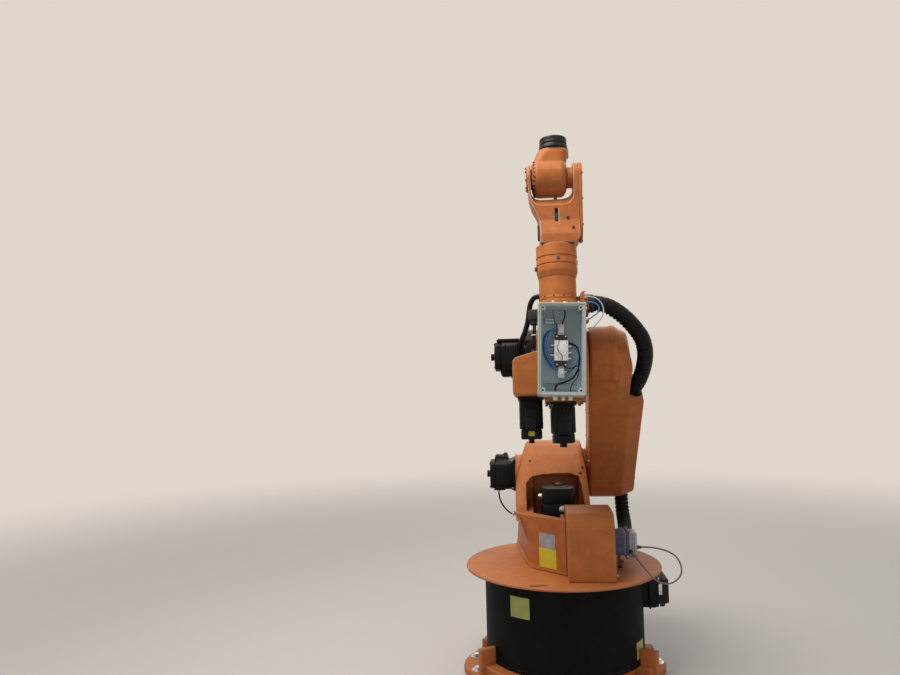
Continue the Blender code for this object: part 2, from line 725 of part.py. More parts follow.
def motor_cable():
    """Thin cable from the second motor's underside to the gland on the column's left side."""
    motor_bottom = A2_Z - 0.003 - A2_MOTOR[0] / 2 + 0.004 - TOUCH
    gland_end = -CABLE_GLAND_LEFT[0] - CABLE_GLAND_LEFT[1] - TOUCH
    y, z = MOTOR_CABLE_Y, MOTOR_CABLE_Z
    knots = [(-0.238, y, motor_bottom), (-0.238, y, 0.604), (-0.238, y, 0.597),
             (-0.235, y, 0.576), (-0.226, y, 0.552), (-0.211, y, 0.531), (-0.194, y, 0.516),
             (-0.186, y, z), (-0.182, y, z), (gland_end, y, z)]
    return tube("a2_motor_cable", knots, THIN_CABLE_R, COLUMN_AXIS, RUBBER, sides=2, spacing=0.018)


def lower_hose():
    """Hose from the connector block's front, down and up into the link arm's lower end."""
    near = HOSE_START_X
    far = HOSE_EXIT_X
    z = BLOCK_Z[1] - HOSE_R - 0.016
    mouth = A2_Z - LINK_LOW_R
    knots = [(near, BLOCK_Y[1] + TOUCH, z), (near, -0.048, z), (near, -0.035, z),
             (near + 0.002, 0.015, z - 0.004), (near + 0.010, 0.075, z - 0.012),
             (far - 0.013, 0.135, z - 0.016), (far - 0.004, 0.190, z - 0.011),
             (far, 0.238, z + 0.007), (far, 0.274, z + 0.037), (far, 0.292, mouth - 0.025),
             (far, A2_Y, mouth + 0.005), (far, A2_Y, mouth + HOSE_IN)]
    return tube("lower_hose", knots, HOSE_R, COLUMN_AXIS, RUBBER)


def link_side(inset):
    """Return the link arm's side outline (y, s), up its front and down its mirrored rear."""
    low = LINK_LOW_R - inset
    high = LINK_HIGH_R - inset
    waist = LINK_WAIST - inset
    front = arc((0.0, 0.0), low, -86.0, 24.0, 9)
    front += [((front[-1][0] + waist) / 2, LINK_LOW_R), (waist, LINK_LENGTH * 0.40)]
    front += [(waist, LINK_LENGTH * 0.60)]
    front += [(waist, LINK_SHOULDER_S), (waist + 0.001, LINK_NECK_S)]
    back = arc((0.0, LINK_LENGTH), high, -24.0, 86.0, 9)
    front += back
    return front + [(-y, s) for y, s in reversed(front)]


def link_inner(s):
    """Return the link arm's inner face at a height along it, flat at both hubs."""
    share = (s - LINK_LOW_R) / (LINK_LENGTH - LINK_LOW_R - LINK_HIGH_R)
    return LINK_IN_LOW + (LINK_IN_HIGH - LINK_IN_LOW) * min(1.0, max(0.0, share))


def link_outer(s):
    """Return the link arm's outer face at a height along it: wall, shoulder, neck, hub."""
    steps = [(-LINK_LOW_R, LINK_OUT), (LINK_SHOULDER_S, LINK_OUT), (LINK_NECK_S, LINK_NECK_OUT),
             (LINK_SLOPE_S, LINK_NECK_OUT), (LINK_LENGTH + LINK_HIGH_R, LINK_TOP_OUT)]
    for (s0, x0), (s1, x1) in zip(steps, steps[1:]):
        if s <= s1:
            return x0 + (x1 - x0) * (s - s0) / (s1 - s0)
    return LINK_TOP_OUT


def link_arm():
    """Link arm casting: hubs at both axes, outer wall with its shoulder, and the hose mouths."""
    rings = []
    for share, inset in ((0.0, 0.008), (0.05, 0.0), (0.72, 0.0), (1.0, LINK_EDGE)):
        ring = []
        for y, s in link_side(inset):
            x = link_inner(s) + share * (link_outer(s) - link_inner(s))
            ring.append((x, y, s))
        rings.append(ring)
    body = loft("link_casting", rings, LINK_AXIS, ORANGE, rungs=True)
    seam = rod("link_seam", LINK_HIGH_R + LINK_SEAM_RISE, 0.016, LINK_AXIS, None,
               (LINK_SEAM_X - 0.008, 0.0, LINK_LENGTH), TURN_TO_PLUS_X)
    combine(body, "UNION", [seam])
    mouth = rod("hose_mouth", MOUTH_R, 0.260, LINK_AXIS, None,
                (MOUTH_X, MOUTH_Y, LINK_SHOULDER_S - 0.070), (0.0, 0.0, 0.0), steps=24)
    exit_hole = rod("hose_exit", MOUTH_R, 0.120, LINK_AXIS, None,
                    (HOSE_EXIT_X, 0.0, 0.0), (180.0 - LINK_LEAN_DEG, 0.0, 0.0), steps=24)
    return combine(body, "DIFFERENCE", [mouth, exit_hole])


def a3_gear():
    """Gear unit between the link arm and the upper arm."""
    start = PIVOT_RIGHT + TOUCH
    return rod("a3_gear", A3_GEAR_R, LINK_IN_HIGH - TOUCH - start, ARM_AXIS, ORANGE,
               (start, 0.0, 0.0), TURN_TO_PLUS_X)


def arm_housing():
    """Upper arm housing: pivot barrel, body that narrows to the tube, and left lobe."""
    y = -ARM_OFFSET
    body = casting("arm_housing", [
        (HOUSING_REAR, -0.066, 0.086, y - 0.070, 0.050, 0.020),
        (-0.090, -0.070, 0.090, y - 0.070, 0.080, 0.024),
        (0.000, -0.070, 0.090, y - 0.070, 0.088, 0.030),
        (0.060, -0.070, 0.080, y - 0.070, 0.068, 0.040),
        (0.090, -0.069, 0.071, y - 0.069, 0.020, 0.045),
        (0.125, -0.068, 0.068, y - 0.068, -0.060, 0.050),
        (HOUSING_FRONT, -0.066, 0.066, y - 0.066, y + 0.066, 0.065),
    ], ARM_AXIS, ORANGE, steps=4)
    barrel = rod("arm_barrel", PIVOT_R, PIVOT_RIGHT - PIVOT_LEFT, ARM_AXIS, None,
                 (PIVOT_LEFT, 0.0, 0.0), TURN_TO_PLUS_X)
    outline = [(-0.159, HOUSING_REAR + 0.010), (-0.159, -0.040), (-0.150, -0.029),
               (-0.072, -0.006), (-0.040, -0.006), (-0.040, HOUSING_REAR),
               (-0.149, HOUSING_REAR)]
    lobe = outline_piece("arm_lobe", outline, 0.150, ARM_AXIS, None, (0.0, -0.145, 0.0),
                         FRONT_VIEW)
    return combine(body, "UNION", [barrel, lobe])


def arm_tube():
    """Tube of the upper arm and the collar at its front end."""
    start = HOUSING_FRONT + TOUCH
    turned("arm_tube", [(0.0, TUBE_END), (TUBE_R, TUBE_END), (TUBE_R, start), (0.0, start)],
           FORK_AXIS, ORANGE)
    low = TUBE_END + TOUCH
    grooves = []
    for down in COLLAR_GROOVES:
        z = COLLAR_END - down
        grooves += [(COLLAR_R, z + GROOVE), (COLLAR_R - GROOVE, z + GROOVE),
                    (COLLAR_R - GROOVE, z), (COLLAR_R, z)]
    profile = [(0.0, COLLAR_END), (COLLAR_R - 0.004, COLLAR_END), (COLLAR_R, COLLAR_END - 0.004)]
    profile += grooves
    profile += [(COLLAR_R, low + COLLAR_CONE), (TUBE_R, low), (0.0, low)]
    turned("arm_collar", profile, FORK_AXIS, ORANGE)


def arm_motors():
    """Third motor on the barrel and three wrist motors behind the housing."""
    servo_motor("a3_motor", A3_MOTOR, ARM_AXIS, (PIVOT_LEFT - TOUCH, 0.0, 0.0),
                TURN_TO_MINUS_X, plug_deg=180.0)
    plate_rear = HOUSING_REAR - TOUCH - 0.022
    box("motor_flange", (-0.052, -0.222, plate_rear), (0.075, -0.012, HOUSING_REAR - TOUCH),
        ARM_AXIS, ORANGE, 0.005)
    servo_motor("wrist_motor_left", WRIST_MOTOR, ARM_AXIS,
                (-0.1015, -0.125, HOUSING_REAR - TOUCH), TURN_TO_MINUS_Z, plug_deg=90.0)
    servo_motor("wrist_motor_middle", REAR_MOTOR, ARM_AXIS,
                (0.003, -0.176, plate_rear - TOUCH), TURN_TO_MINUS_Z, plug_deg=90.0)
    servo_motor("wrist_motor_inner", REAR_MOTOR, ARM_AXIS,
                (0.003, -0.064, plate_rear - TOUCH), TURN_TO_MINUS_Z, plug_deg=-90.0)


def valve_box():
    """Open valve box on the arm and the valve block inside it."""
    hub = empty("valve_box_seat", ARM_AXIS, (BOX_MID_X, BOX_BACK_Y - TOUCH, BOX_MID_Z),
                (90.0, BOX_TILT_DEG, 0.0))
    w = BOX_W / 2
    h = BOX_H / 2
    body = casting("valve_box", [
        (0.0, -w, w, -h, h, 0.006), (BOX_D - 0.003, -w, w, -h, h, 0.006),
        (BOX_D, -w + 0.003, w - 0.003, -h + 0.003, h - 0.003, 0.004)], hub, GREY)
    hollow = casting("box_hollow", [
        (BOX_BACK, -w + BOX_WALL, w - BOX_WALL, -h + BOX_WALL, h - BOX_WALL, 0.006),
        (BOX_D + 0.01, -w + BOX_WALL, w - BOX_WALL, -h + BOX_WALL, h - BOX_WALL, 0.006)],
        hub, None)
    combine(body, "DIFFERENCE", [hollow])
    posts = []
    for i, sx in enumerate((-1, 1)):
        for j, sy in enumerate((-1, 1)):
            spot = (sx * (w - BOX_WALL - 0.005), sy * (h - BOX_WALL - 0.005), BOX_BACK - 0.002)
            posts.append(rod(f"box_post_{i}{j}", 0.009, BOX_D - BOX_BACK - 0.004, hub, None,
                             spot, (0.0, 0.0, 0.0), steps=12))
    reach = w - BOX_WALL - 0.014
    for i, v in enumerate((-DUCT_MID, DUCT_MID - 0.014)):
        right = reach if i == 0 else -0.022
        posts.append(box(f"box_duct_{i}", (-reach, v - DUCT_H / 2, BOX_BACK - 0.002),
                         (right, v + DUCT_H / 2, BOX_BACK + 0.012), hub, None))
    combine(body, "UNION", posts)
    floor = BOX_BACK + TOUCH
    wide = VALVE_HALF
    coil = VALVE_COIL_HALF
    end = VALVE_COIL_END
    valve = box("valve_block", (-wide, -0.033, floor), (wide, 0.033, floor + 0.038), hub,
                SILVER, 0.002)
    caps = [box("valve_caps", (-0.018, -0.050, floor + 0.004), (0.018, 0.050, floor + 0.032),
                hub, None),
            box("valve_coils", (-coil, -end, floor + 0.006), (coil, end, floor + 0.026),
                hub, None)]
    combine(valve, "UNION", caps)
    return body


def hose_clamp():
    """Bracket on the arm's right side that holds the upper hose, with two blocks below."""
    y = -ARM_OFFSET
    inner, outer = CLAMP_X
    round_r = (outer - inner) / 2
    outline = [(inner, CLAMP_Z[0]), (outer, CLAMP_Z[0])]
    outline += arc((inner + round_r, CLAMP_Z[1] - round_r), round_r, 0.0, 180.0, 8)
    plate = outline_piece("hose_clamp", outline, CLAMP_DEPTH, ARM_AXIS, ORANGE,
                          (0.0, CLAMP_Y, 0.0), FRONT_VIEW)
    added = [box("clamp_foot", (TUBE_R - 0.015, y - 0.012, HOUSING_FRONT + 0.006),
                 ((inner + outer) / 2, y + 0.032, CLAMP_Z[1] - round_r), ARM_AXIS, None)]
    root = inner + 0.008
    low = CLAMP_BLOCKS_Z[-1][0]
    added.append(box("clamp_web", (root, CLAMP_Y - 0.014, low + 0.001),
                     (root + 0.008, CLAMP_Y + 0.014, CLAMP_Z[0] + 0.010), ARM_AXIS, None))
    for i, (z0, z1) in enumerate(CLAMP_BLOCKS_Z):
        added.append(box(f"clamp_block_{i}", (root - 0.0005, CLAMP_Y - 0.020, z0),
                         (outer, CLAMP_Y + 0.020, z1), ARM_AXIS, None))
    combine(plate, "UNION", added)
    bite = rod("clamp_bite", TUBE_R + TOUCH, HOUSING_FRONT, FORK_AXIS, None,
               (0.0, 0.0, HOUSING_FRONT / 2), (0.0, 0.0, 0.0))
    return combine(plate, "DIFFERENCE", [bite])


def upper_hose():
    """Hose from the clamp on the upper arm, over the elbow, into the link arm's shoulder."""
    start = CLAMP_X[1] + TOUCH
    y = CLAMP_Y
    inside = MOUTH_X
    knots = [(start, y, 0.153), (start + 0.010, y, 0.153), (start + 0.022, y, 0.153),
             (0.145, y - 0.003, 0.1475), (0.170, y - 0.003, 0.138), (0.202, -0.157, 0.118),
             (0.232, -0.143, 0.093), (0.258, -0.124, 0.066), (0.279, -0.101, 0.040),
             (0.291, -0.072, 0.013), (0.297, -0.040, -0.012), (0.298, -0.006, -0.036),
             (0.295, 0.030, -0.061), (0.288, 0.064, -0.086), (0.277, 0.094, -0.108),
             (inside + 0.001, 0.1174, -0.1273), (inside, 0.137, -0.1436),
             (inside, 0.1538, -0.1586)]
    return tube("upper_hose", knots, HOSE_R, ARM_AXIS, RUBBER)


def cable_bundle():
    """Black cables from the third motor up to the arm's left side."""
    x = PIVOT_LEFT - 0.0198
    start = 0.004 - A3_MOTOR[0] / 2 - TOUCH
    end = -TUBE_R - TOUCH
    y = -ARM_OFFSET
    z = HOUSING_FRONT + 0.019
    knots = [(x, start, 0.030), (x, start - 0.008, 0.030), (x + 0.001, -0.072, 0.032),
             (x + 0.010, -0.092, 0.050), (x + 0.022, -0.105, 0.076), (x + 0.031, -0.116, 0.105),
             (x + 0.036, -0.127, 0.135), (x + 0.041, -0.139, 0.160), (end - 0.022, -0.149, 0.176),
             (end - 0.013, y + 0.001, z - 0.001), (end - 0.007, y, z), (end, y, z)]
    return tube("cable_bundle", knots, BUNDLE_R, ARM_AXIS, RUBBER, sides=2, spacing=0.018)


def box_point(u, v, depth):
    """Return a point of the valve box, across, up and out of its back, in the arm's frame."""
    turn = math.radians(BOX_TILT_DEG)
    return (BOX_MID_X + u * math.cos(turn) + v * math.sin(turn), BOX_BACK_Y - TOUCH - depth,
            BOX_MID_Z - u * math.sin(turn) + v * math.cos(turn))


def thin_tube(name, knots, radius, paint):
    """Return a thin tube of the upper arm through the knots."""
    return tube(name, knots, radius, ARM_AXIS, paint, sides=2, spacing=0.018)


def clamp_tubes():
    """Two air tubes from the clamp's front face round into the valve box's right side."""
    front = CLAMP_Y - CLAMP_DEPTH / 2 - TOUCH
    side = BOX_W / 2 + TOUCH
    x, z = 0.088, 0.168
    thin_tube("clamp_tube_pale", [
        (x, front, z), (x, front - 0.007, z), (x + 0.001, front - 0.013, z),
        (0.100, -0.214, 0.167), (0.120, -0.217, 0.160), (0.137, -0.219, 0.142),
        (0.142, -0.224, 0.116), (0.133, -0.232, 0.092), (0.116, -0.245, 0.071),
        box_point(side + 0.018, 0.067, 0.034), box_point(side + 0.008, 0.066, 0.036),
        box_point(side, 0.066, 0.036)], AIR_TUBE_R, GREY)
    z = 0.148
    thin_tube("clamp_tube_blue", [
        (x, front, z), (x, front - 0.007, z), (x + 0.002, front - 0.013, z),
        (0.104, -0.213, 0.148), (0.120, -0.216, 0.142), (0.129, -0.220, 0.126),
        (0.122, -0.228, 0.109), (0.107, -0.238, 0.097), box_point(side + 0.016, 0.106, 0.022),
        box_point(side + 0.008, 0.105, 0.024), box_point(side, 0.105, 0.024)], AIR_TUBE_R, BLUE)


def box_tubes():
    """Two air tubes and two black wires inside the valve box, all held at both ends."""
    coil = VALVE_COIL_HALF + TOUCH
    block = VALVE_HALF + TOUCH
    wall = BOX_H / 2 - BOX_WALL - TOUCH
    top = VALVE_COIL_END + TOUCH

    def route(*knots):
        return [box_point(*knot) for knot in knots]

    thin_tube("box_tube_left", route(
        (-coil, 0.066, 0.022), (-coil - 0.007, 0.066, 0.022), (-coil - 0.014, 0.067, 0.023),
        (-0.041, 0.062, 0.031), (-0.055, 0.042, 0.038), (-0.058, 0.012, 0.041),
        (-0.052, -0.020, 0.038), (-0.038, -0.044, 0.031), (-coil - 0.014, -0.057, 0.023),
        (-coil - 0.007, -0.058, 0.022), (-coil, -0.058, 0.022)), AIR_TUBE_R, BLUE)
    thin_tube("box_tube_right", route(
        (block, 0.014, 0.026), (block + 0.006, 0.014, 0.026), (block + 0.012, 0.013, 0.028),
        (0.048, 0.003, 0.038), (0.054, -0.018, 0.041), (0.049, -0.042, 0.037),
        (0.036, -0.059, 0.029), (coil + 0.014, -0.066, 0.023), (coil + 0.007, -0.067, 0.022),
        (coil, -0.067, 0.022)), AIR_TUBE_R, BLUE)
    thin_tube("box_wire_top", route(
        (0.012, wall, 0.030), (0.012, wall - 0.007, 0.030), (0.0125, wall - 0.015, 0.030),
        (0.011, 0.109, 0.027), (0.006, top + 0.010, 0.022), (0.005, top + 0.005, 0.022),
        (0.005, top, 0.022)), AIR_TUBE_R, RUBBER)
    thin_tube("box_wire_right", route(
        (block, 0.026, 0.016), (block + 0.007, 0.026, 0.016), (block + 0.015, 0.024, 0.017),
        (0.052, 0.010, 0.023), (0.058, -0.020, 0.024), (0.055, -0.055, 0.022),
        (0.040, -0.083, 0.020), (0.014, -0.099, 0.022), (-0.010, -0.107, 0.028),
        (-0.018, 0.016 - wall, 0.030), (-0.018, 0.008 - wall, 0.030),
        (-0.018, -wall, 0.030)), BOX_TUBE_R, RUBBER)


def fork_valley():
    """Return the cutter between the ears, a U from the front with a ridge along its floor."""
    top = WRIST_REACH + EAR_R + 0.010
    left, right = VALLEY_X
    low = VALLEY_Z + VALLEY_ROUND
    outline = arc((right - VALLEY_ROUND, low), VALLEY_ROUND, 0.0, -90.0, 6)
    outline += arc((left + VALLEY_ROUND, low), VALLEY_ROUND, -90.0, -180.0, 6)
    outline += [(left, top), (right, top)]
    cutter = outline_piece("fork_valley", outline, 0.160, FORK_AXIS, None, (0.0, 0.0, 0.0),
                           FRONT_VIEW)
    ridge = WRIST_REACH - RIDGE_DEPTH
    outline = [(-0.090, ridge - 0.075), (-0.012, ridge), (0.012, ridge), (0.090, ridge - 0.075),
               (0.090, top + 0.010), (-0.090, top + 0.010)]
    above = outline_piece("valley_ridge", outline, 0.200, FORK_AXIS, None, (0.0, 0.0, 0.0),
                          SIDE_VIEW)
    return combine(cutter, "INTERSECT", [above])


def fork():
    """Fork of the in-line wrist: front view crossed with side view."""
    left = FORK_LEFT
    right = FORK_RIGHT
    low = COLLAR_END + TOUCH
    top = WRIST_REACH + EAR_R
    front = [(NECK_LEFT, low), (0.060, low), (right - 0.006, low + 0.012), (right, low + 0.022),
             (right, top), (left, top), (left, WRIST_REACH - 0.035), (-0.087, WRIST_REACH - 0.075),
             (-0.078, WRIST_REACH - 0.107), (-0.063, WRIST_REACH - 0.137),
             (NECK_LEFT, WRIST_REACH - 0.162)]
    body = outline_piece("fork_casting", front, 0.140, FORK_AXIS, ORANGE, (0.0, 0.0, 0.0),
                         FRONT_VIEW)
    thick, thin = FORK_DEPTH
    front_side = [(thick, low - 0.010), (thick, low + 0.030), (thin, VALLEY_Z - 0.052),
                  (thin, VALLEY_Z + 0.010)]
    side = list(front_side)
    side += arc((0.0, WRIST_REACH), EAR_R - 0.0005, -10.0, 190.0, 14)
    side += [(-y, z) for y, z in reversed(front_side)]
    across = outline_piece("fork_side", side, 0.300, FORK_AXIS, None, (0.0, 0.0, 0.0), SIDE_VIEW)
    combine(body, "INTERSECT", [across])
    slot = box("fork_slot", (FORK_SLOT_X - 0.006, -0.100, low + 0.076),
               (FORK_SLOT_X + 0.006, 0.100, low + 0.124), FORK_AXIS, None)
    ribs = box("ear_ribs", (left - 0.010, -0.100, WRIST_REACH - 0.062),
               (left + 0.003, -EAR_RIB_DEPTH, WRIST_REACH - 0.040), FORK_AXIS, None)
    combine(body, "DIFFERENCE", [fork_valley(), slot, ribs])
    outline = arc((0.0, WRIST_REACH), EAR_R, 0.0, 180.0, 12)
    outline += arc((0.0, BELT_LOW + EAR_R), EAR_R, 180.0, 360.0, 12)
    cover = outline_piece("belt_cover", outline, BELT_COVER_T - TOUCH, FORK_AXIS, ORANGE,
                          (right + TOUCH + (BELT_COVER_T - TOUCH) / 2, 0.0, 0.0), SIDE_VIEW)
    bevelled(cover, 0.004)
    rod("ear_cover", EAR_COVER_R, EAR_COVER_T, FORK_AXIS, ORANGE,
        (left - TOUCH, 0.0, WRIST_REACH), TURN_TO_MINUS_X)
    fork_plugs(low)
    return body


def fork_plugs(low):
    """Black oval cover on the neck's left side and the round plug in the valley's floor."""
    half = 0.014
    z0 = low + 0.022
    outline = arc((0.0, z0 + 0.058 - half), half, 0.0, 180.0, 6)
    outline += arc((0.0, z0 + half), half, 180.0, 360.0, 6)
    cover = outline_piece("neck_cover", outline, NECK_COVER_T, FORK_AXIS, BLACK,
                          (NECK_LEFT - TOUCH - NECK_COVER_T / 2, 0.0, 0.0), SIDE_VIEW)
    bevelled(cover, 0.0015)
    rod("valley_plug", 0.006, 0.007, FORK_AXIS, BLACK,
        (FORK_SLOT_X - 0.003, 0.0, WRIST_REACH - RIDGE_DEPTH + TOUCH), (0.0, 0.0, 0.0), steps=16)


def wrist():
    """Wrist housing about the fifth axis, narrowing towards the tool flange."""
    wide = WRIST_RIGHT - WRIST_LEFT
    profile = [(0.0, wide), (WRIST_R - WRIST_EDGE, wide), (WRIST_R - 0.005, wide - 0.006),
               (WRIST_R, wide - WRIST_EDGE), (WRIST_R, WRIST_EDGE), (WRIST_R - 0.005, 0.006),
               (WRIST_R - WRIST_EDGE, 0.0), (0.0, 0.0)]
    drum_part = turned("wrist_housing", profile, WRIST_AXIS, ORANGE,
                       (WRIST_LEFT, 0.0, 0.0), TURN_TO_PLUS_X)
    cone = casting("wrist_cone", [
        (0.0, WRIST_LEFT + 0.004, WRIST_RIGHT - 0.004, -0.048, 0.048, 0.020),
        (0.055, WRIST_LEFT + 0.006, WRIST_RIGHT + 0.004, -0.048, 0.048, 0.030),
        (0.085, WRIST_LEFT + 0.015, WRIST_RIGHT + 0.012, -0.047, 0.047, 0.040),
        (FLANGE_REACH - FLANGE_T - TOUCH, FLANGE_X - NECK_HALF[0], FLANGE_X + NECK_HALF[0],
         -NECK_HALF[1], NECK_HALF[1], NECK_HALF[1] - 0.001),
    ], WRIST_AXIS, None, steps=5)
    right_boss = rod("wrist_right_boss", WRIST_BOSS_R, VALLEY_X[1] - TOUCH - WRIST_RIGHT + 0.010,
                     WRIST_AXIS, None, (WRIST_RIGHT - 0.010, 0.0, 0.0), TURN_TO_PLUS_X)
    left_boss = rod("wrist_left_boss", WRIST_BOSS_R, WRIST_LEFT - VALLEY_X[0] + 0.010 - TOUCH,
                    WRIST_AXIS, None,
                    (WRIST_LEFT + 0.010, 0.0, 0.0), TURN_TO_MINUS_X)
    return combine(drum_part, "UNION", [cone, right_boss, left_boss])


def tool_flange():
    """Black tool flange with its centring bore."""
    low = FLANGE_REACH - FLANGE_T
    high = FLANGE_REACH
    profile = [(0.0, high - 0.006), (FLANGE_BORE_R, high - 0.006), (FLANGE_BORE_R, high),
               (FLANGE_R - 0.001, high), (FLANGE_R, high - 0.001), (FLANGE_R, low + 0.016),
               (FLANGE_R - 0.003, low + 0.014), (FLANGE_R - 0.003, low), (0.0, low)]
    return turned("tool_flange", profile, WRIST_AXIS, BLACK, at=(FLANGE_X, 0.0, 0.0))


foot()
drum()
pillar()
inlet_box()
turntable()
column()
column_motors()
rear_cover()
connector_block()
patch_cable()
a2_gear()
motor_cable()
lower_hose()
link_arm()
a3_gear()
arm_housing()
arm_tube()
arm_motors()
valve_box()
hose_clamp()
upper_hose()
cable_bundle()
clamp_tubes()
box_tubes()
fork()
wrist()
tool_flange()
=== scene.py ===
"""Looks of the six-axis industrial robot arm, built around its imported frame.

Every piece is drawn in the frame's own metres.  Sizes come from the frame's boxes and joints
where a piece seats on one of its nodes, and stand as named fields where they are its own.
Surfaces are worked out with numpy: a profile turned about an axis, an outline raised into a
prism, or a ring carried along a path.
"""

import json
import logging
import math
from dataclasses import dataclass, replace
from enum import Enum

import bmesh
import bpy
import numpy as np
from mathutils import Matrix, Vector
from mathutils.bvhtree import BVHTree
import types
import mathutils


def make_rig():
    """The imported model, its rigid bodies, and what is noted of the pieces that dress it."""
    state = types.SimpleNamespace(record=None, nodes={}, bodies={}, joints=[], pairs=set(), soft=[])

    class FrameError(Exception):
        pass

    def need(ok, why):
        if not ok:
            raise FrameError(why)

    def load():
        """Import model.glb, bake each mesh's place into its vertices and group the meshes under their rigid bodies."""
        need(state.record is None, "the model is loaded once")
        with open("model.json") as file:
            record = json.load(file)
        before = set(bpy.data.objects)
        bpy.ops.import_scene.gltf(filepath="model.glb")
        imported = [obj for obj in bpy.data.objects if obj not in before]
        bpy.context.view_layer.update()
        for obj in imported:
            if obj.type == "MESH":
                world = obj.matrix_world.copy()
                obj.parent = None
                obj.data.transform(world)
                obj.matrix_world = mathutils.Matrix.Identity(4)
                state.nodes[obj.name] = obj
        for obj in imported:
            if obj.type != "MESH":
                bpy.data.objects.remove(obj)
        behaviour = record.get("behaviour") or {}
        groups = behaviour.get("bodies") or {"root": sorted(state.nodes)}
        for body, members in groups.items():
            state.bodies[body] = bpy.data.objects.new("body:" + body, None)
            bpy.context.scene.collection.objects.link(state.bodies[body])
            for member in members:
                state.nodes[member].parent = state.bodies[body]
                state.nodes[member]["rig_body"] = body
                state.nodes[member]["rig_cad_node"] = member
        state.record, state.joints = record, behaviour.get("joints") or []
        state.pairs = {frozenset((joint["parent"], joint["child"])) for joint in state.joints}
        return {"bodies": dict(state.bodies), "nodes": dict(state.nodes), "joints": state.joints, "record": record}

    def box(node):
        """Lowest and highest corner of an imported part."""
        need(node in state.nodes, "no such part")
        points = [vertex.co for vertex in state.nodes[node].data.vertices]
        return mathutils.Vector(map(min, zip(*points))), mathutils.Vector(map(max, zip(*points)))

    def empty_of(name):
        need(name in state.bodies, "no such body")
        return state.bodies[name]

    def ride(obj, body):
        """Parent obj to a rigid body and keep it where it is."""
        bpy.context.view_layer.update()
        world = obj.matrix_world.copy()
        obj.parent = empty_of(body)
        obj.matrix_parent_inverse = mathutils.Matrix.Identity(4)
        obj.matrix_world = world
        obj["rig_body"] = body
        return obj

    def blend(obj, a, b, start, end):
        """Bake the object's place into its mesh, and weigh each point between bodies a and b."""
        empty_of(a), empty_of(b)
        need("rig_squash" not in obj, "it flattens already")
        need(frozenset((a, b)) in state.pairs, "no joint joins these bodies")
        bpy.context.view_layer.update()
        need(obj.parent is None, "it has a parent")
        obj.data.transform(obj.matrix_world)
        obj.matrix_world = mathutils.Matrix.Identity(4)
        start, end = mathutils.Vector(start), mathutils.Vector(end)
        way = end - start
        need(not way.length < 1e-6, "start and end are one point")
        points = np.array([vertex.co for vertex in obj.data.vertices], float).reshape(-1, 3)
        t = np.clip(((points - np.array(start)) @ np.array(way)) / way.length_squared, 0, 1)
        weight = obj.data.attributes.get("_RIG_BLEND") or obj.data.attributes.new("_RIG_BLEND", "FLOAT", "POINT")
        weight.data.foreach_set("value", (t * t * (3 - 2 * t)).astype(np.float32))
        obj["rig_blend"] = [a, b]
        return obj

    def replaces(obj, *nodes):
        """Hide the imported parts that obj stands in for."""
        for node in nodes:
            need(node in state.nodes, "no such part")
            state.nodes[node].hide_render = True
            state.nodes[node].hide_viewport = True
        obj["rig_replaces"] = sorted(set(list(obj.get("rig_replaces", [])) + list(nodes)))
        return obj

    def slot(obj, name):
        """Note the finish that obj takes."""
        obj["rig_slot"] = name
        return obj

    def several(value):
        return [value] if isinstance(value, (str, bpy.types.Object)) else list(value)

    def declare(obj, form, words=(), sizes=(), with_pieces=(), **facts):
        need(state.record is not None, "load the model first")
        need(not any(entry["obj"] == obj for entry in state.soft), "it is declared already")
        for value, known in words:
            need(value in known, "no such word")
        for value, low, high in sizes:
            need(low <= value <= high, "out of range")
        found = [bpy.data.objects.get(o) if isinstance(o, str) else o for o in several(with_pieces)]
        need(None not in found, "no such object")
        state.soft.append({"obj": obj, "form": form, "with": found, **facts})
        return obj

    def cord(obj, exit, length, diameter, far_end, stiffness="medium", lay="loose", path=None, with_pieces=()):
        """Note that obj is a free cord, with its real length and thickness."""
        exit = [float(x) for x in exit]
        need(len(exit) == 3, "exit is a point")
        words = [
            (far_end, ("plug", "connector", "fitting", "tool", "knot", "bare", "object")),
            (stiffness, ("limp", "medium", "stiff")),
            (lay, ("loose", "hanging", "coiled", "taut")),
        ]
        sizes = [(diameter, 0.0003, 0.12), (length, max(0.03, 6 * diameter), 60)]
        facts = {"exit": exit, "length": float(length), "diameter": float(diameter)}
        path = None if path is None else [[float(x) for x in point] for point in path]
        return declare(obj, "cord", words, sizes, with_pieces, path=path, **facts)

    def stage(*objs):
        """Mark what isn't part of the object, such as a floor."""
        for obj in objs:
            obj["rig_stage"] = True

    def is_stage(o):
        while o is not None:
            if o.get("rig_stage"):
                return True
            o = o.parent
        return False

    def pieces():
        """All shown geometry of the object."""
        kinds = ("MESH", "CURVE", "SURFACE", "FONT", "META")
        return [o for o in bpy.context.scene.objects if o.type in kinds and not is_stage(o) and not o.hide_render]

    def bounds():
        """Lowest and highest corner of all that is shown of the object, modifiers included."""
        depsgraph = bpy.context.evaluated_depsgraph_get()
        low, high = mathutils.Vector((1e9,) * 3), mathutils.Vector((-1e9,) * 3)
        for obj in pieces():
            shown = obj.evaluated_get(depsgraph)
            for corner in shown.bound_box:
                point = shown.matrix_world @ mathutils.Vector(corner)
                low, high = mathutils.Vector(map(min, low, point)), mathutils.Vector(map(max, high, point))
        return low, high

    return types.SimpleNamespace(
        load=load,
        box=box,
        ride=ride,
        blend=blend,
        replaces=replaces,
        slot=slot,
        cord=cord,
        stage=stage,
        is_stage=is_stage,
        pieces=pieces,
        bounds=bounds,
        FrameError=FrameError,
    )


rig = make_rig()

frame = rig.load()
CAD_BOX = [list(corner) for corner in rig.bounds()]
LOG = logging.getLogger("robot_arm")
Spot = tuple[float, float, float]
RIGHT, LEFT = (1.0, 0.0, 0.0), (-1.0, 0.0, 0.0)
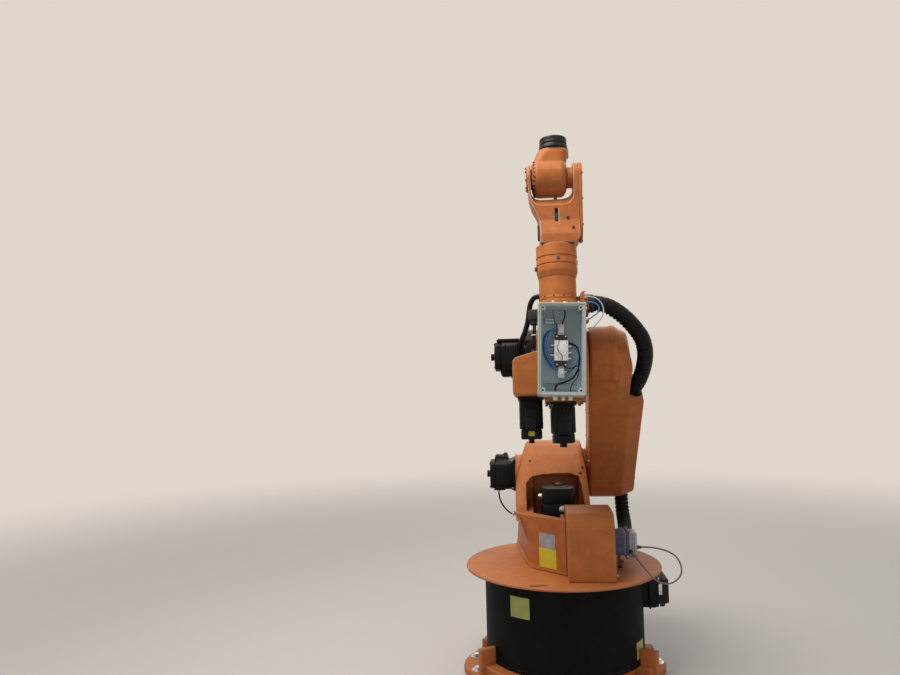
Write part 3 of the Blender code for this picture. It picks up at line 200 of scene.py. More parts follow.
AHEAD, BACK = (0.0, 1.0, 0.0), (0.0, -1.0, 0.0)
UP, DOWN = (0.0, 0.0, 1.0), (0.0, 0.0, -1.0)


# Places and surfaces


def unit(vector: np.ndarray) -> np.ndarray:
    """Return the vector, or each row of an array, at length one."""
    vector = np.asarray(vector, float)
    return vector / np.linalg.norm(vector, axis=-1, keepdims=True)


@dataclass(frozen=True)
class Space:
    """A place and three directions at right angles, in which a piece is drawn.

    Args:
        origin: the place, in the row frame.
        axes: the directions of x, y and z as rows.
    """

    origin: np.ndarray
    axes: np.ndarray

    @classmethod
    def along(cls, origin: Spot, z: Spot, x: Spot = RIGHT) -> "Space":
        """Return a space with this z direction and x as near as it can be.

        Args:
            origin: the space's place.
            z: its z direction.
            x: the wanted x direction.

        Returns:
            The space.
        """
        up = unit(z)
        side = unit(np.cross(up, x))
        return cls(np.asarray(origin, float), np.stack([np.cross(side, up), side, up]))

    def put(self, points: np.ndarray) -> np.ndarray:
        """Return points of this space in the row frame."""
        return self.origin + np.asarray(points, float) @ self.axes

    def at(self, *spot: float) -> "Space":
        """Return this space moved to one of its spots."""
        return Space(self.put(spot), self.axes)

    def facing(self, spot: Spot, z: Spot, x: Spot = RIGHT) -> "Space":
        """Return a space at a spot of this one, with its z and x given in this one."""
        return Space.along(self.put(spot), np.asarray(z) @ self.axes, np.asarray(x) @ self.axes)


WORLD = Space(np.zeros(3), np.eye(3))


@dataclass
class Shell:
    """Points and faces of one surface, with a place across the surface for each point."""

    points: np.ndarray
    faces: list[np.ndarray]
    across: np.ndarray | None = None

    def within(self, space: Space) -> "Shell":
        """Return the shell drawn in a space."""
        return Shell(space.put(self.points), self.faces, self.across)


def placed(shells: list[Shell], space: Space) -> list[Shell]:
    """Return shells drawn in a space."""
    return [shell.within(space) for shell in shells]


def joined(shells: list[Shell]) -> Shell:
    """Return several shells as one.

    Args:
        shells: the shells.

    Returns:
        One shell of them all.
    """
    starts = np.cumsum([0] + [len(s.points) for s in shells])
    faces = [f + start for s, start in zip(shells, starts) for f in s.faces]
    across = None
    if all(s.across is not None for s in shells):
        across = np.concatenate([s.across for s in shells])
    return Shell(np.concatenate([s.points for s in shells]), faces, across)


def skin(grid: np.ndarray, wrap_rows: bool = False, wrap_columns: bool = False,
         caps: bool = False) -> Shell:
    """Cover a grid of points with quads.

    Args:
        grid: points as rows, columns and three coordinates.
        wrap_rows: join the last row to the first.
        wrap_columns: join the last column to the first.
        caps: close the first and last row with one flat face each.

    Returns:
        The shell, with row and column shares as its place across the surface.
    """
    rows, columns = grid.shape[:2]
    index = np.arange(rows * columns).reshape(rows, columns)
    ends = [index[:1, ::-1], index[-1:]] if caps else []
    if wrap_rows:
        index = np.vstack([index, index[:1]])
    if wrap_columns:
        index = np.hstack([index, index[:, :1]])
    corners = (index[:-1, :-1], index[:-1, 1:], index[1:, 1:], index[1:, :-1])
    quads = np.stack(corners, axis=-1).reshape(-1, 4)
    share = np.meshgrid(np.arange(columns) / columns, np.arange(rows) / rows)
    return Shell(grid.reshape(-1, 3), [quads, *ends], np.stack(share, axis=-1).reshape(-1, 2))


def turned(profile: list[tuple[float, float]], steps: int = 48) -> Shell:
    """Turn a profile of (radius, height) points about z: x = r cos a, y = r sin a.

    Args:
        profile: points of (radius, height).
        steps: steps of a full turn.

    Returns:
        The turned shell.
    """
    r, z = np.asarray(profile, float).T
    a = np.arange(steps)[:, None] * (2.0 * math.pi / steps)
    grid = np.stack([r * np.cos(a), r * np.sin(a), np.broadcast_to(z, (steps, len(z)))], axis=-1)
    return skin(grid, wrap_rows=True)


def softened(profile: list[tuple[float, float]], radius: float, steps: int = 3) -> list:
    """Round the inner corners of an open profile with parabolic blends of that reach.

    Args:
        profile: points of the open profile.
        radius: reach of a blend, in metres.
        steps: steps of a blend.

    Returns:
        The points of the softened profile.
    """
    spots = np.asarray(profile, float)
    t = np.linspace(0.0, 1.0, steps + 1)[:, None]
    out = [spots[:1]]
    for before, corner, after in zip(spots, spots[1:], spots[2:]):
        back, ahead = before - corner, after - corner
        reach = min(radius, 0.45 * np.linalg.norm(back), 0.45 * np.linalg.norm(ahead))
        start = corner + unit(back) * reach
        end = corner + unit(ahead) * reach
        out.append((1 - t) ** 2 * start + 2 * t * (1 - t) * corner + t ** 2 * end)
    out.append(spots[-1:])
    return np.concatenate(out)


def lathe(profile: list[tuple[float, float]], soft: float, steps: int, blend: int = 3) -> Shell:
    """Turn a profile about z in that many steps, its corners softened by that reach."""
    return turned(softened(profile, soft, blend), steps)


def circle(radius: float, steps: int = 24) -> np.ndarray:
    """Return a round outline, counterclockwise."""
    a = np.arange(steps) * (2.0 * math.pi / steps)
    return radius * np.stack([np.cos(a), np.sin(a)], axis=1)


def soft_box(width: float, height: float, radius: float, steps: int = 4) -> np.ndarray:
    """Return a rectangle's outline with quarter-circle corners, counterclockwise.

    Args:
        width: its size along x.
        height: its size along y.
        radius: radius of its corners.
        steps: steps of a corner.

    Returns:
        The outline's points.
    """
    a = np.linspace(0.0, math.pi / 2, steps + 1)
    quarter = radius * np.stack([np.cos(a), np.sin(a)], axis=1)
    turns = [np.array([[1, 0], [0, 1]]), np.array([[0, 1], [-1, 0]]),
             np.array([[-1, 0], [0, -1]]), np.array([[0, -1], [1, 0]])]
    reach = np.array([width / 2 - radius, height / 2 - radius])
    signs = [(1, 1), (-1, 1), (-1, -1), (1, -1)]
    return np.concatenate([quarter @ t + reach * s for t, s in zip(turns, signs)])


def inset(outline: np.ndarray, by: float) -> np.ndarray:
    """Move a counterclockwise outline inwards, each point along the middle of its edges.

    Args:
        outline: the points.
        by: how far they move, outwards where negative.

    Returns:
        The moved points.
    """
    ahead = unit(np.roll(outline, -1, axis=0) - outline)
    normal = np.stack([ahead[:, 1], -ahead[:, 0]], axis=1)
    middle = unit(normal + np.roll(normal, 1, axis=0))
    lean = np.maximum(np.sum(middle * normal, axis=1, keepdims=True), 0.4)
    return outline - middle * by / lean


def prism(outline: np.ndarray, low: float, high: float, edge: float = 0.0008,
          steps: int = 2) -> Shell:
    """Raise an outline from low to high, its two rims rounded to quarter circles.

    Args:
        outline: the counterclockwise outline.
        low: its lowest z.
        high: its highest z.
        edge: radius of its rims.
        steps: steps of a rim.

    Returns:
        The closed prism.
    """
    turn = np.linspace(0.0, math.pi / 2, steps + 1)
    inward = edge * (1.0 - np.sin(turn))
    rise = edge * (1.0 - np.cos(turn))
    levels = [(i, low + z) for i, z in zip(inward, rise)]
    levels += [(i, high - z) for i, z in zip(inward[::-1], rise[::-1])]
    rings = [np.column_stack([inset(outline, i), np.full(len(outline), z)]) for i, z in levels]
    return skin(np.stack(rings), wrap_columns=True, caps=True)


def block(low: Spot, high: Spot, edge: float = 0.001, corner: float = 0.002) -> Shell:
    """Return a box between two corners, with rounded rims and corners.

    Args:
        low: its lowest corner.
        high: its highest corner.
        edge: radius of its rims.
        corner: radius of its upright corners.

    Returns:
        The closed box.
    """
    low, high = np.asarray(low, float), np.asarray(high, float)
    size, middle = high - low, (high + low) / 2
    shell = prism(soft_box(size[0], size[1], min(corner, 0.45 * min(size[0], size[1])), 3),
                  -size[2] / 2, size[2] / 2, min(edge, 0.3 * min(size)))
    shell.points = shell.points + middle
    return shell


def route(knots: list[Spot], spacing: float) -> np.ndarray:
    """Return points at even spacing on the Catmull-Rom curve through the knots.

    Args:
        knots: the points that it runs through.
        spacing: distance of its points.

    Returns:
        The curve's points.
    """
    k = np.asarray(knots, float)
    k = np.vstack([2 * k[0] - k[1], k, 2 * k[-1] - k[-2]])
    a, b, c, d = k[:-3], k[1:-2], k[2:-1], k[3:]
    t = np.linspace(0.0, 1.0, 24, endpoint=False)[:, None, None]
    bent = (2 * a - 5 * b + 4 * c - d) * t ** 2 + (3 * b - a - 3 * c + d) * t ** 3
    fine = 0.5 * (2 * b + (c - a) * t + bent)
    fine = np.vstack([fine.transpose(1, 0, 2).reshape(-1, 3), k[-2:-1]])
    run = np.concatenate([[0.0], np.cumsum(np.linalg.norm(np.diff(fine, axis=0), axis=1))])
    at = np.linspace(0.0, run[-1], max(3, round(run[-1] / spacing) + 1))
    return np.stack([np.interp(at, run, fine[:, i]) for i in range(3)], axis=1)


def run_length(path: np.ndarray) -> float:
    """Return the length of a path."""
    return float(np.linalg.norm(np.diff(path, axis=0), axis=1).sum())


def pipe_sides(path: np.ndarray) -> tuple[np.ndarray, np.ndarray]:
    """Return two directions across a path at each point.

    The up direction leans on the one in which the path spreads least, so it never meets
    the path's own direction.

    Args:
        path: the path's points.

    Returns:
        The side and the up direction of each point.
    """
    ahead = unit(np.gradient(path, axis=0))
    flat = np.linalg.svd(path - path.mean(axis=0))[2][2]
    side = unit(np.cross(ahead, flat))
    return side, np.cross(side, ahead)


def pipe(path: np.ndarray, radius: np.ndarray | float, sides: int = 14) -> Shell:
    """Carry a ring along a path: point = path + radius (side cos a + up sin a).

    Args:
        path: the middle line.
        radius: one radius, or one for each point of the path and each side.
        sides: how many points the ring has.

    Returns:
        The closed tube.
    """
    side, up = pipe_sides(path)
    a = np.arange(sides) * (2.0 * math.pi / sides)
    ring = side[:, None] * np.cos(a)[:, None] + up[:, None] * np.sin(a)[:, None]
    reach = np.broadcast_to(radius, (len(path), sides))[:, :, None]
    return skin(path[:, None] + reach * ring, wrap_columns=True, caps=True)


# Finishes


class Tree:
    """A node tree that is filled by short calls."""

    def __init__(self, tree: bpy.types.NodeTree) -> None:
        """Keep the tree."""
        self.tree = tree

    def add(self, kind: str, inputs: dict | None = None, **settings: object) -> bpy.types.Node:
        """Add a node.

        Args:
            kind: the node type's name without its ShaderNode start.
            inputs: a value or an output socket for inputs, by name or number.
            settings: properties of the node.

        Returns:
            The node.
        """
        node = self.tree.nodes.new(kind if "Group" in kind else "ShaderNode" + kind)
        for key, value in settings.items():
            setattr(node, key, value)
        for key, value in (inputs or {}).items():
            if isinstance(value, bpy.types.NodeSocket):
                self.tree.links.new(value, node.inputs[key])
            else:
                node.inputs[key].default_value = value
        return node

    def math(self, how: str, a: object, b: object = 0.0, clamp: bool = False) -> object:
        """Return the output of a Math node."""
        return self.add("Math", {0: a, 1: b}, operation=how, use_clamp=clamp).outputs[0]

    def span(self, value: object, low: float, high: float, top: float = 1.0) -> object:
        """Return a value mapped from low..high to 0..top, with soft ends."""
        return self.add("MapRange", {"Value": value, "From Min": low, "From Max": high,
                                     "To Min": 0.0, "To Max": top},
                        interpolation_type="SMOOTHSTEP").outputs[0]

    def noise(self, vector: object, scale: float, detail: float = 3.0, rough: float = 0.55,
              warp: float = 0.0) -> object:
        """Return a noise texture's value."""
        return self.add("TexNoise", {"Vector": vector, "Scale": scale, "Detail": detail,
                                     "Roughness": rough, "Distortion": warp}).outputs["Fac"]

    def blend(self, share: object, a: object, b: object) -> object:
        """Return colour a turned to colour b by a share.

        Args:
            share: how far it turns, a value or a socket.
            a: the first colour.
            b: the second colour.

        Returns:
            The output socket.
        """
        node = self.add("Mix", data_type="RGBA")
        for key, value in ((0, share), (6, a), (7, b)):
            if isinstance(value, bpy.types.NodeSocket):
                self.tree.links.new(value, node.inputs[key])
            else:
                node.inputs[key].default_value = value
        return node.outputs[2]


def node_group(name: str, inputs: list[str], outputs: list[str]) -> tuple[Tree, object, object]:
    """Start a shader node group.

    Args:
        name: the group's name.
        inputs: its input names; Vector is a vector and the others are numbers.
        outputs: its output names, all numbers.

    Returns:
        The group's tree, its input node and its output node.
    """
    made = bpy.data.node_groups.new(name, "ShaderNodeTree")
    for label in inputs:
        kind = "NodeSocketVector" if label == "Vector" else "NodeSocketFloat"
        made.interface.new_socket(label, in_out="INPUT", socket_type=kind)
    for label in outputs:
        made.interface.new_socket(label, in_out="OUTPUT", socket_type="NodeSocketFloat")
    tree = Tree(made)
    return tree, tree.add("NodeGroupInput"), tree.add("NodeGroupOutput")


def wear_group() -> bpy.types.NodeTree:
    """Return the group of tone, scuffs, scratches and grain over a surface.

    Returns:
        The group, with the outputs Tone, Scuff, Scratch and Grain.
    """
    tree, given, made = node_group("surface_wear", ["Vector", "Grain Scale"],
                                   ["Tone", "Scuff", "Scratch", "Grain"])
    spot = given.outputs["Vector"]
    tone = tree.math("MULTIPLY", tree.noise(spot, 5.0, 4.0), tree.noise(spot, 31.0, 4.0, 0.6))
    patch = tree.noise(spot, 16.0, 6.0, 0.68, 1.2)
    scuff = tree.span(patch, 0.56, 0.74)
    long_way = tree.add("Mapping", {"Vector": spot, "Rotation": (0.4, 0.7, 0.2),
                                    "Scale": (14.0, 220.0, 220.0)}).outputs[0]
    short_way = tree.add("Mapping", {"Vector": spot, "Rotation": (1.3, 0.2, 1.1),
                                     "Scale": (260.0, 18.0, 260.0)}).outputs[0]
    lines = tree.math("MAXIMUM", tree.noise(long_way, 1.0, 2.0, 0.4),
                      tree.noise(short_way, 1.0, 2.0, 0.4))
    scratch = tree.math("MULTIPLY", tree.span(lines, 0.70, 0.76),
                        tree.span(tree.noise(spot, 9.0, 2.0), 0.50, 0.66))
    grain = tree.add("TexNoise", {"Vector": spot, "Detail": 2.0, "Roughness": 0.5})
    tree.tree.links.new(given.outputs["Grain Scale"], grain.inputs["Scale"])
    for label, value in (("Tone", tone), ("Scuff", scuff), ("Scratch", scratch),
                         ("Grain", grain.outputs["Fac"])):
        tree.tree.links.new(value, made.inputs[label])
    return tree.tree


def edge_group() -> bpy.types.NodeTree:
    """Return the group of chipped edges and of darkening in hollows, from the mesh's own attributes.

    Returns:
        The group, with the outputs Chips, Rub and Grime.
    """
    tree, given, made = node_group("edge_wear", ["Vector"], ["Chips", "Rub", "Hollow Dark"])
    spot = given.outputs["Vector"]
    edge = tree.add("Attribute", attribute_name="edge").outputs["Fac"]
    hollow = tree.add("Attribute", attribute_name="hollow").outputs["Fac"]
    broken = tree.math("MULTIPLY", edge, tree.noise(spot, 46.0, 5.0, 0.7, 0.6))
    cloud = tree.math("ADD", tree.noise(spot, 20.0, 4.0, 0.6), 0.35)
    for label, value in (("Chips", tree.span(broken, 0.34, 0.40)),
                         ("Rub", tree.span(broken, 0.12, 0.45)),
                         ("Hollow Dark", tree.math("MULTIPLY", hollow, cloud, True))):
        tree.tree.links.new(value, made.inputs[label])
    return tree.tree


def dust_group() -> bpy.types.NodeTree:
    """Return the group of dust that has settled on what faces up.

    Returns:
        The group, with the output Dust.
    """
    tree, given, made = node_group("settled_dust", ["Vector"], ["Dust"])
    spot = given.outputs["Vector"]
    facing = tree.add("TexCoord").outputs["Normal"]
    up = tree.add("SeparateXYZ", {0: facing}).outputs["Z"]
    film = tree.math("MULTIPLY", tree.span(up, 0.35, 0.95), tree.noise(spot, 26.0, 5.0, 0.65))
    specks = tree.span(tree.noise(spot, 420.0, 2.0, 0.5), 0.66, 0.72, 0.5)
    lying = tree.math("MULTIPLY", specks, tree.span(up, -0.1, 0.6))
    tree.tree.links.new(tree.math("ADD", film, lying, True), made.inputs["Dust"])
    return tree.tree


class Kind(Enum):
    """How a finish takes light."""

    PAINT = "paint"
    METAL = "metal"
    RUBBER = "rubber"
    PLASTIC = "plastic"


@dataclass(frozen=True)
class Finish:
    """One finish with its wear.

    Args:
        name: the material's name.
        kind: how it takes light.
        colour: its clean colour, linear.
        roughness: its clean roughness.
        scuff: how far scuffs lighten it, from 0 to 1.
        chips: how far chipped edges show, from 0 to 1.
        hollow_dark: how dark its hollows are, from 0 to 1.
        dust: how far dust covers what faces up, from 0 to 1.
        grain: height of its grain, from 0 to 1.
        grain_scale: how fine its grain is.
        shade: how far its tone varies.
        worn: the colour of its scuffs.
        under: the colour under its chips.
        settled: the colour of its dust.
        coat: weight of the clear coat on paint.
        gloss: strength of the plain reflection.
    """

    name: str
    kind: Kind
    colour: Spot
    roughness: float
    scuff: float = 0.25
    chips: float = 0.0
    # How far the hollows darken towards a deep copy of the finish's own colour.
    hollow_dark: float = 0.5
    dust: float = 0.2
    grain: float = 0.15
    grain_scale: float = 700.0
    shade: float = 0.25
    worn: Spot = (0.5, 0.5, 0.5)
    under: Spot = (0.16, 0.15, 0.14)
    settled: Spot = (0.52, 0.47, 0.41)
    coat: float = 0.0
    gloss: float = 0.5

    def shader(self) -> bpy.types.Material:
        """Return the finish as a material, made once.

        Returns:
            The material.
        """
        found = bpy.data.materials.get(self.name)
        if found:
            return found
        material = bpy.data.materials.new(self.name)
        material.use_nodes = True
        tree = Tree(material.node_tree)
        surface = material.node_tree.nodes["Principled BSDF"]
        spot = tree.add("TexCoord").outputs["Object"]
        wear = tree.add("ShaderNodeGroup", {}, node_tree=GROUPS["wear"])
        edges = tree.add("ShaderNodeGroup", {}, node_tree=GROUPS["edge"])
        dust = tree.add("ShaderNodeGroup", {}, node_tree=GROUPS["dust"])
        for node in (wear, edges, dust):
            tree.tree.links.new(spot, node.inputs["Vector"])
        wear.inputs["Grain Scale"].default_value = self.grain_scale
        tone = wear.outputs["Tone"]
        scuff = tree.math("MULTIPLY", wear.outputs["Scuff"], self.scuff)
        scratch = tree.math("MULTIPLY", wear.outputs["Scratch"], min(1.0, self.scuff * 2.4))
        rub = tree.math("MULTIPLY", edges.outputs["Rub"], self.chips * 0.5)
        marks = tree.math("ADD", scuff, tree.math("ADD", scratch, rub), True)
        hollow_dark = tree.math("MULTIPLY", edges.outputs["Hollow Dark"], self.hollow_dark)
        film = tree.math("MULTIPLY", dust.outputs["Dust"], self.dust)
        deep = [c * (1.0 - self.shade) for c in self.colour]
        light = [min(1.0, c * (1.0 + self.shade)) for c in self.colour]
        colour = tree.blend(tree.span(tone, 0.08, 0.42), (*deep, 1.0), (*light, 1.0))
        colour = tree.blend(marks, colour, (*self.worn, 1.0))
        # Hollows, in patches, turn towards a deep copy of the finish's own colour.
        colour = tree.blend(hollow_dark, colour, (*[c * 0.22 for c in self.colour], 1.0))
        if self.chips > 0.0:
            chips = tree.math("MULTIPLY", edges.outputs["Chips"], self.chips)
            colour = tree.blend(chips, colour, (*self.under, 1.0))
        colour = tree.blend(film, colour, (*self.settled, 1.0))
        tree.tree.links.new(colour, surface.inputs["Base Color"])
        rough = tree.math("ADD", tree.math("MULTIPLY", marks, 0.22), self.roughness)
        rough = tree.math("ADD", rough, tree.math("MULTIPLY", film, 0.4))
        rough = tree.math("ADD", rough, tree.math("MULTIPLY", tone, 0.12), True)
        tree.tree.links.new(rough, surface.inputs["Roughness"])
        height = tree.math("MULTIPLY", wear.outputs["Grain"], self.grain)
        height = tree.math("SUBTRACT", height, tree.math("MULTIPLY", scratch, 0.35))
        bump = tree.add("Bump", {"Height": height, "Strength": 0.35, "Distance": 0.0008})
        tree.tree.links.new(bump.outputs[0], surface.inputs["Normal"])
        surface.inputs["Metallic"].default_value = 1.0 if self.kind is Kind.METAL else 0.0
        surface.inputs["Coat Weight"].default_value = self.coat
        surface.inputs["Coat Roughness"].default_value = 0.28
        surface.inputs["Specular IOR Level"].default_value = self.gloss
        return material


GROUPS = {"wear": wear_group(), "edge": edge_group(), "dust": dust_group()}

ORANGE = Finish("orange_paint", Kind.PAINT, (0.47, 0.146, 0.040), 0.44, scuff=0.12, chips=0.35,
                hollow_dark=0.6, dust=0.12, grain=0.5, grain_scale=420.0, shade=0.13,
                worn=(0.60, 0.29, 0.15), under=(0.30, 0.15, 0.09),
                settled=(0.46, 0.28, 0.17), coat=0.02, gloss=0.16)
SCUFFED = replace(ORANGE, name="scuffed_orange_paint", scuff=0.34, chips=0.9,
                  worn=(0.66, 0.36, 0.22), under=(0.50, 0.33, 0.24))
BLACK = Finish("black_paint", Kind.PAINT, (0.006, 0.006, 0.007), 0.40, scuff=0.10, chips=0.35,
               hollow_dark=0.2, dust=0.10, grain=0.4, shade=0.3, worn=(0.07, 0.07, 0.07),
               under=(0.25, 0.25, 0.26), gloss=0.14)
DRUM_BLACK = Finish("drum_black_paint", Kind.PAINT, (0.005, 0.005, 0.005), 0.58, scuff=0.07,
                    chips=0.3, hollow_dark=0.2, dust=0.06, grain=0.4, shade=0.3,
                    worn=(0.05, 0.05, 0.05), under=(0.2, 0.2, 0.2), gloss=0.08)
FLANGE_BLACK = Finish("oiled_black_steel", Kind.PAINT, (0.010, 0.011, 0.010), 0.36, scuff=0.35,
                      chips=0.6, hollow_dark=0.3, dust=0.08, grain=0.3, shade=0.3,
                      worn=(0.10, 0.11, 0.10), under=(0.30, 0.31, 0.30), gloss=0.30)
VALVE_GREY = Finish("valve_grey_cast", Kind.METAL, (0.66, 0.67, 0.69), 0.46, scuff=0.3,
                    hollow_dark=0.5, dust=0.15, grain=0.5, shade=0.10, worn=(0.48, 0.48, 0.5))
ENAMEL = Finish("box_enamel", Kind.PAINT, (0.44, 0.48, 0.44), 0.32, scuff=0.12, hollow_dark=0.35,
                dust=0.15, grain=0.2, shade=0.06, worn=(0.42, 0.43, 0.40))
# Painted shade and a painted bluish reflection: a blue-grey copy of the box's enamel for its inner walls, floor, duct
# and terminal strip.
PAINTED_SHADE_ENAMEL = Finish("box_enamel_painted_shade", Kind.PAINT, (0.44, 0.53, 0.57), 0.42, scuff=0.12, hollow_dark=0.4,
               dust=0.2, shade=0.08, worn=(0.35, 0.42, 0.45))
STEEL = Finish("machined_steel", Kind.METAL, (0.52, 0.52, 0.53), 0.34, scuff=0.3, hollow_dark=0.4,
               grain=0.2, shade=0.15, worn=(0.35, 0.34, 0.33))
ZINC = Finish("zinc_screw", Kind.METAL, (0.66, 0.66, 0.65), 0.30, scuff=0.3, hollow_dark=0.5,
              dust=0.1, shade=0.2, worn=(0.4, 0.38, 0.35))
DARK_STEEL = Finish("dark_screw", Kind.METAL, (0.09, 0.085, 0.085), 0.42, scuff=0.4, hollow_dark=0.4,
                    dust=0.2, shade=0.3, worn=(0.2, 0.19, 0.18))
ALUMINIUM = Finish("bare_aluminium", Kind.METAL, (0.72, 0.73, 0.75), 0.36, scuff=0.35,
                   hollow_dark=0.4, dust=0.15, grain=0.3, shade=0.12, worn=(0.45, 0.45, 0.46))
PLUG_GREY = Finish("die_cast_plug", Kind.METAL, (0.30, 0.31, 0.36), 0.44, scuff=0.45, hollow_dark=0.6,
                   dust=0.1, shade=0.25, worn=(0.55, 0.56, 0.60))
HOSE = Finish("hose_rubber", Kind.RUBBER, (0.007, 0.006, 0.006), 0.46, scuff=0.14, hollow_dark=0.3,
              dust=0.07, grain=0.5, shade=0.3, worn=(0.04, 0.035, 0.033), gloss=0.14)
WIRE = Finish("wire_sleeve", Kind.PLASTIC, (0.008, 0.008, 0.009), 0.42, scuff=0.12, dust=0.06,
              shade=0.2, worn=(0.05, 0.05, 0.05), gloss=0.18)
BLACK_PLASTIC = Finish("black_plastic", Kind.PLASTIC, (0.010, 0.010, 0.011), 0.48, scuff=0.2,
                       dust=0.10, shade=0.2, worn=(0.07, 0.07, 0.07), gloss=0.18)
HOOD_GREEN = Finish("dark_green_hood", Kind.PLASTIC, (0.020, 0.024, 0.018), 0.50, scuff=0.3,
                    hollow_dark=0.4, dust=0.12, shade=0.25, worn=(0.10, 0.11, 0.08), gloss=0.2)
WHITE_PLASTIC = Finish("white_plastic", Kind.PLASTIC, (0.72, 0.73, 0.72), 0.4, scuff=0.15,
                       hollow_dark=0.4, shade=0.06, worn=(0.5, 0.5, 0.48))
BLUE_GREY = Finish("blue_grey_shell", Kind.PLASTIC, (0.105, 0.125, 0.215), 0.42, scuff=0.3,
                   hollow_dark=0.6, shade=0.25, worn=(0.33, 0.35, 0.42))
BLUE_TUBE = Finish("blue_tube", Kind.PLASTIC, (0.028, 0.042, 0.30), 0.28, scuff=0.05,
                   dust=0.05, shade=0.15, worn=(0.1, 0.12, 0.42))
GREY_TUBE = Finish("grey_tube", Kind.PLASTIC, (0.40, 0.41, 0.46), 0.35, scuff=0.05, dust=0.1,
                   shade=0.12, worn=(0.3, 0.3, 0.32))
GREY_CABLE = Finish("grey_cable", Kind.RUBBER, (0.17, 0.155, 0.145), 0.5, scuff=0.15, dust=0.12,
                    shade=0.2, worn=(0.3, 0.28, 0.26), gloss=0.35)
YELLOW_PATCH = Finish("yellow_patch", Kind.PLASTIC, (0.68, 0.58, 0.030), 0.42, scuff=0.30,
                      hollow_dark=0.3, dust=0.05, shade=0.12, worn=(0.55, 0.50, 0.20))
PALE_PATCH = Finish("pale_yellow_patch", Kind.PLASTIC, (0.42, 0.43, 0.11), 0.45, scuff=0.4,
                    hollow_dark=0.3, dust=0.05, shade=0.15, worn=(0.34, 0.37, 0.20))
SILVER_PATCH = Finish("silver_patch", Kind.METAL, (0.42, 0.41, 0.46), 0.42, scuff=0.6,
                      hollow_dark=0.3, dust=0.05, shade=0.25, worn=(0.24, 0.24, 0.32))
# Painted shade: near-black discs that stand for the dark inside of holes.
PAINTED_BORE_SHADE = Finish("painted_bore_shade", Kind.PLASTIC, (0.006, 0.005, 0.005), 0.8, scuff=0.0, dust=0.0)
RED_CAP = Finish("dark_red_cap", Kind.PLASTIC, (0.075, 0.012, 0.008), 0.45, scuff=0.2,
                 worn=(0.3, 0.1, 0.08))


# Making and seating pieces


def relief(mesh: bpy.types.Mesh, reach: float) -> None:
    """Write how far each point stands out on an edge or lies in a hollow, from 0 to 1.

    Formula: the mean of a point's neighbours less the point, along its normal, is negative on
    an outer edge and positive in a hollow; it is averaged over neighbours a few times.

    Args:
        mesh: the mesh that gets the attributes edge and hollow.
        reach: the bend, in metres, at which either is full.
    """
    count = len(mesh.vertices)
    co = np.empty(count * 3)
    normal = np.empty(count * 3)
    ends = np.empty(len(mesh.edges) * 2, int)
    mesh.vertices.foreach_get("co", co)
    mesh.vertices.foreach_get("normal", normal)
    mesh.edges.foreach_get("vertices", ends)
    co, normal = co.reshape(-1, 3), normal.reshape(-1, 3)
    a, b = ends.reshape(-1, 2).T
    links = np.maximum(np.bincount(a, minlength=count) + np.bincount(b, minlength=count), 1)

    def mean(value: np.ndarray) -> np.ndarray:
        """Return the mean of a value over each point's neighbours."""
        total = np.bincount(a, value[b], count) + np.bincount(b, value[a], count)
        return total / links

    away = np.stack([mean(co[:, i]) for i in range(3)], axis=1) - co
    bend = np.sum(away * normal, axis=1)
    for _ in range(3):
        bend = 0.5 * bend + 0.5 * mean(bend)
    for name, value in (("edge", -bend / reach), ("hollow", bend / reach)):
        layer = mesh.attributes.new(name, "FLOAT", "POINT")
        layer.data.foreach_set("value", np.clip(value, 0.0, 1.0).astype(np.float32))


def seated_piece(made: bpy.types.Object, finish: Finish, body: str, slot: str | None,
                 replaces: tuple[str, ...]) -> bpy.types.Object:
    """Give a new piece its finish, body, slot and the nodes that it stands for.

    Args:
        made: the new object.
        finish: its finish.
        body: the body that it rides on, or an empty string.
        slot: the record's material slot.
        replaces: the nodes that it stands for.

    Returns:
        The object.
    """
    bpy.context.scene.collection.objects.link(made)
    made.data.materials.clear()
    made.data.materials.append(finish.shader())
    if body:
        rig.ride(made, body)
    if slot:
        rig.slot(made, slot)
    if replaces:
        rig.replaces(made, *replaces)
    LOG.info("%s: %d faces on %s", made.name, len(made.data.polygons), body or "two bodies")
    return made


def piece(name: str, shells: Shell | list[Shell], finish: Finish, body: str,
          slot: str | None = None, replaces: tuple[str, ...] = (),
          sharp_deg: float = 35.0) -> bpy.types.Object:
    """Make one piece from shells.

    Args:
        name: the piece's name.
        shells: the surfaces in it, in the row frame.
        finish: its finish.
        body: the body that it rides on, or an empty string for a piece that bends.
        slot: the record's material slot.
        replaces: the frame's nodes that it stands for.
        sharp_deg: edges that turn by more stay sharp.

    Returns:
        The object.
    """
    shell = joined(shells) if isinstance(shells, list) else shells
    mesh = bpy.data.meshes.new(name)
    mesh.from_pydata(shell.points.tolist(), [], [row for f in shell.faces for row in f.tolist()])
    if shell.across is not None:
        loops = np.empty(len(mesh.loops), int)
        mesh.loops.foreach_get("vertex_index", loops)
        layer = mesh.uv_layers.new(name="across")
        layer.data.foreach_set("uv", shell.across[loops].ravel().astype(np.float32))
    tidy = bmesh.new()
    tidy.from_mesh(mesh)
    bmesh.ops.remove_doubles(tidy, verts=tidy.verts, dist=1e-6)
    bmesh.ops.recalc_face_normals(tidy, faces=tidy.faces)
    tidy.to_mesh(mesh)
    tidy.free()
    mesh.polygons.foreach_set("use_smooth", np.ones(len(mesh.polygons), bool))
    mesh.set_sharp_from_angle(angle=math.radians(sharp_deg))
    return seated_piece(bpy.data.objects.new(name, mesh), finish, body, slot, replaces)


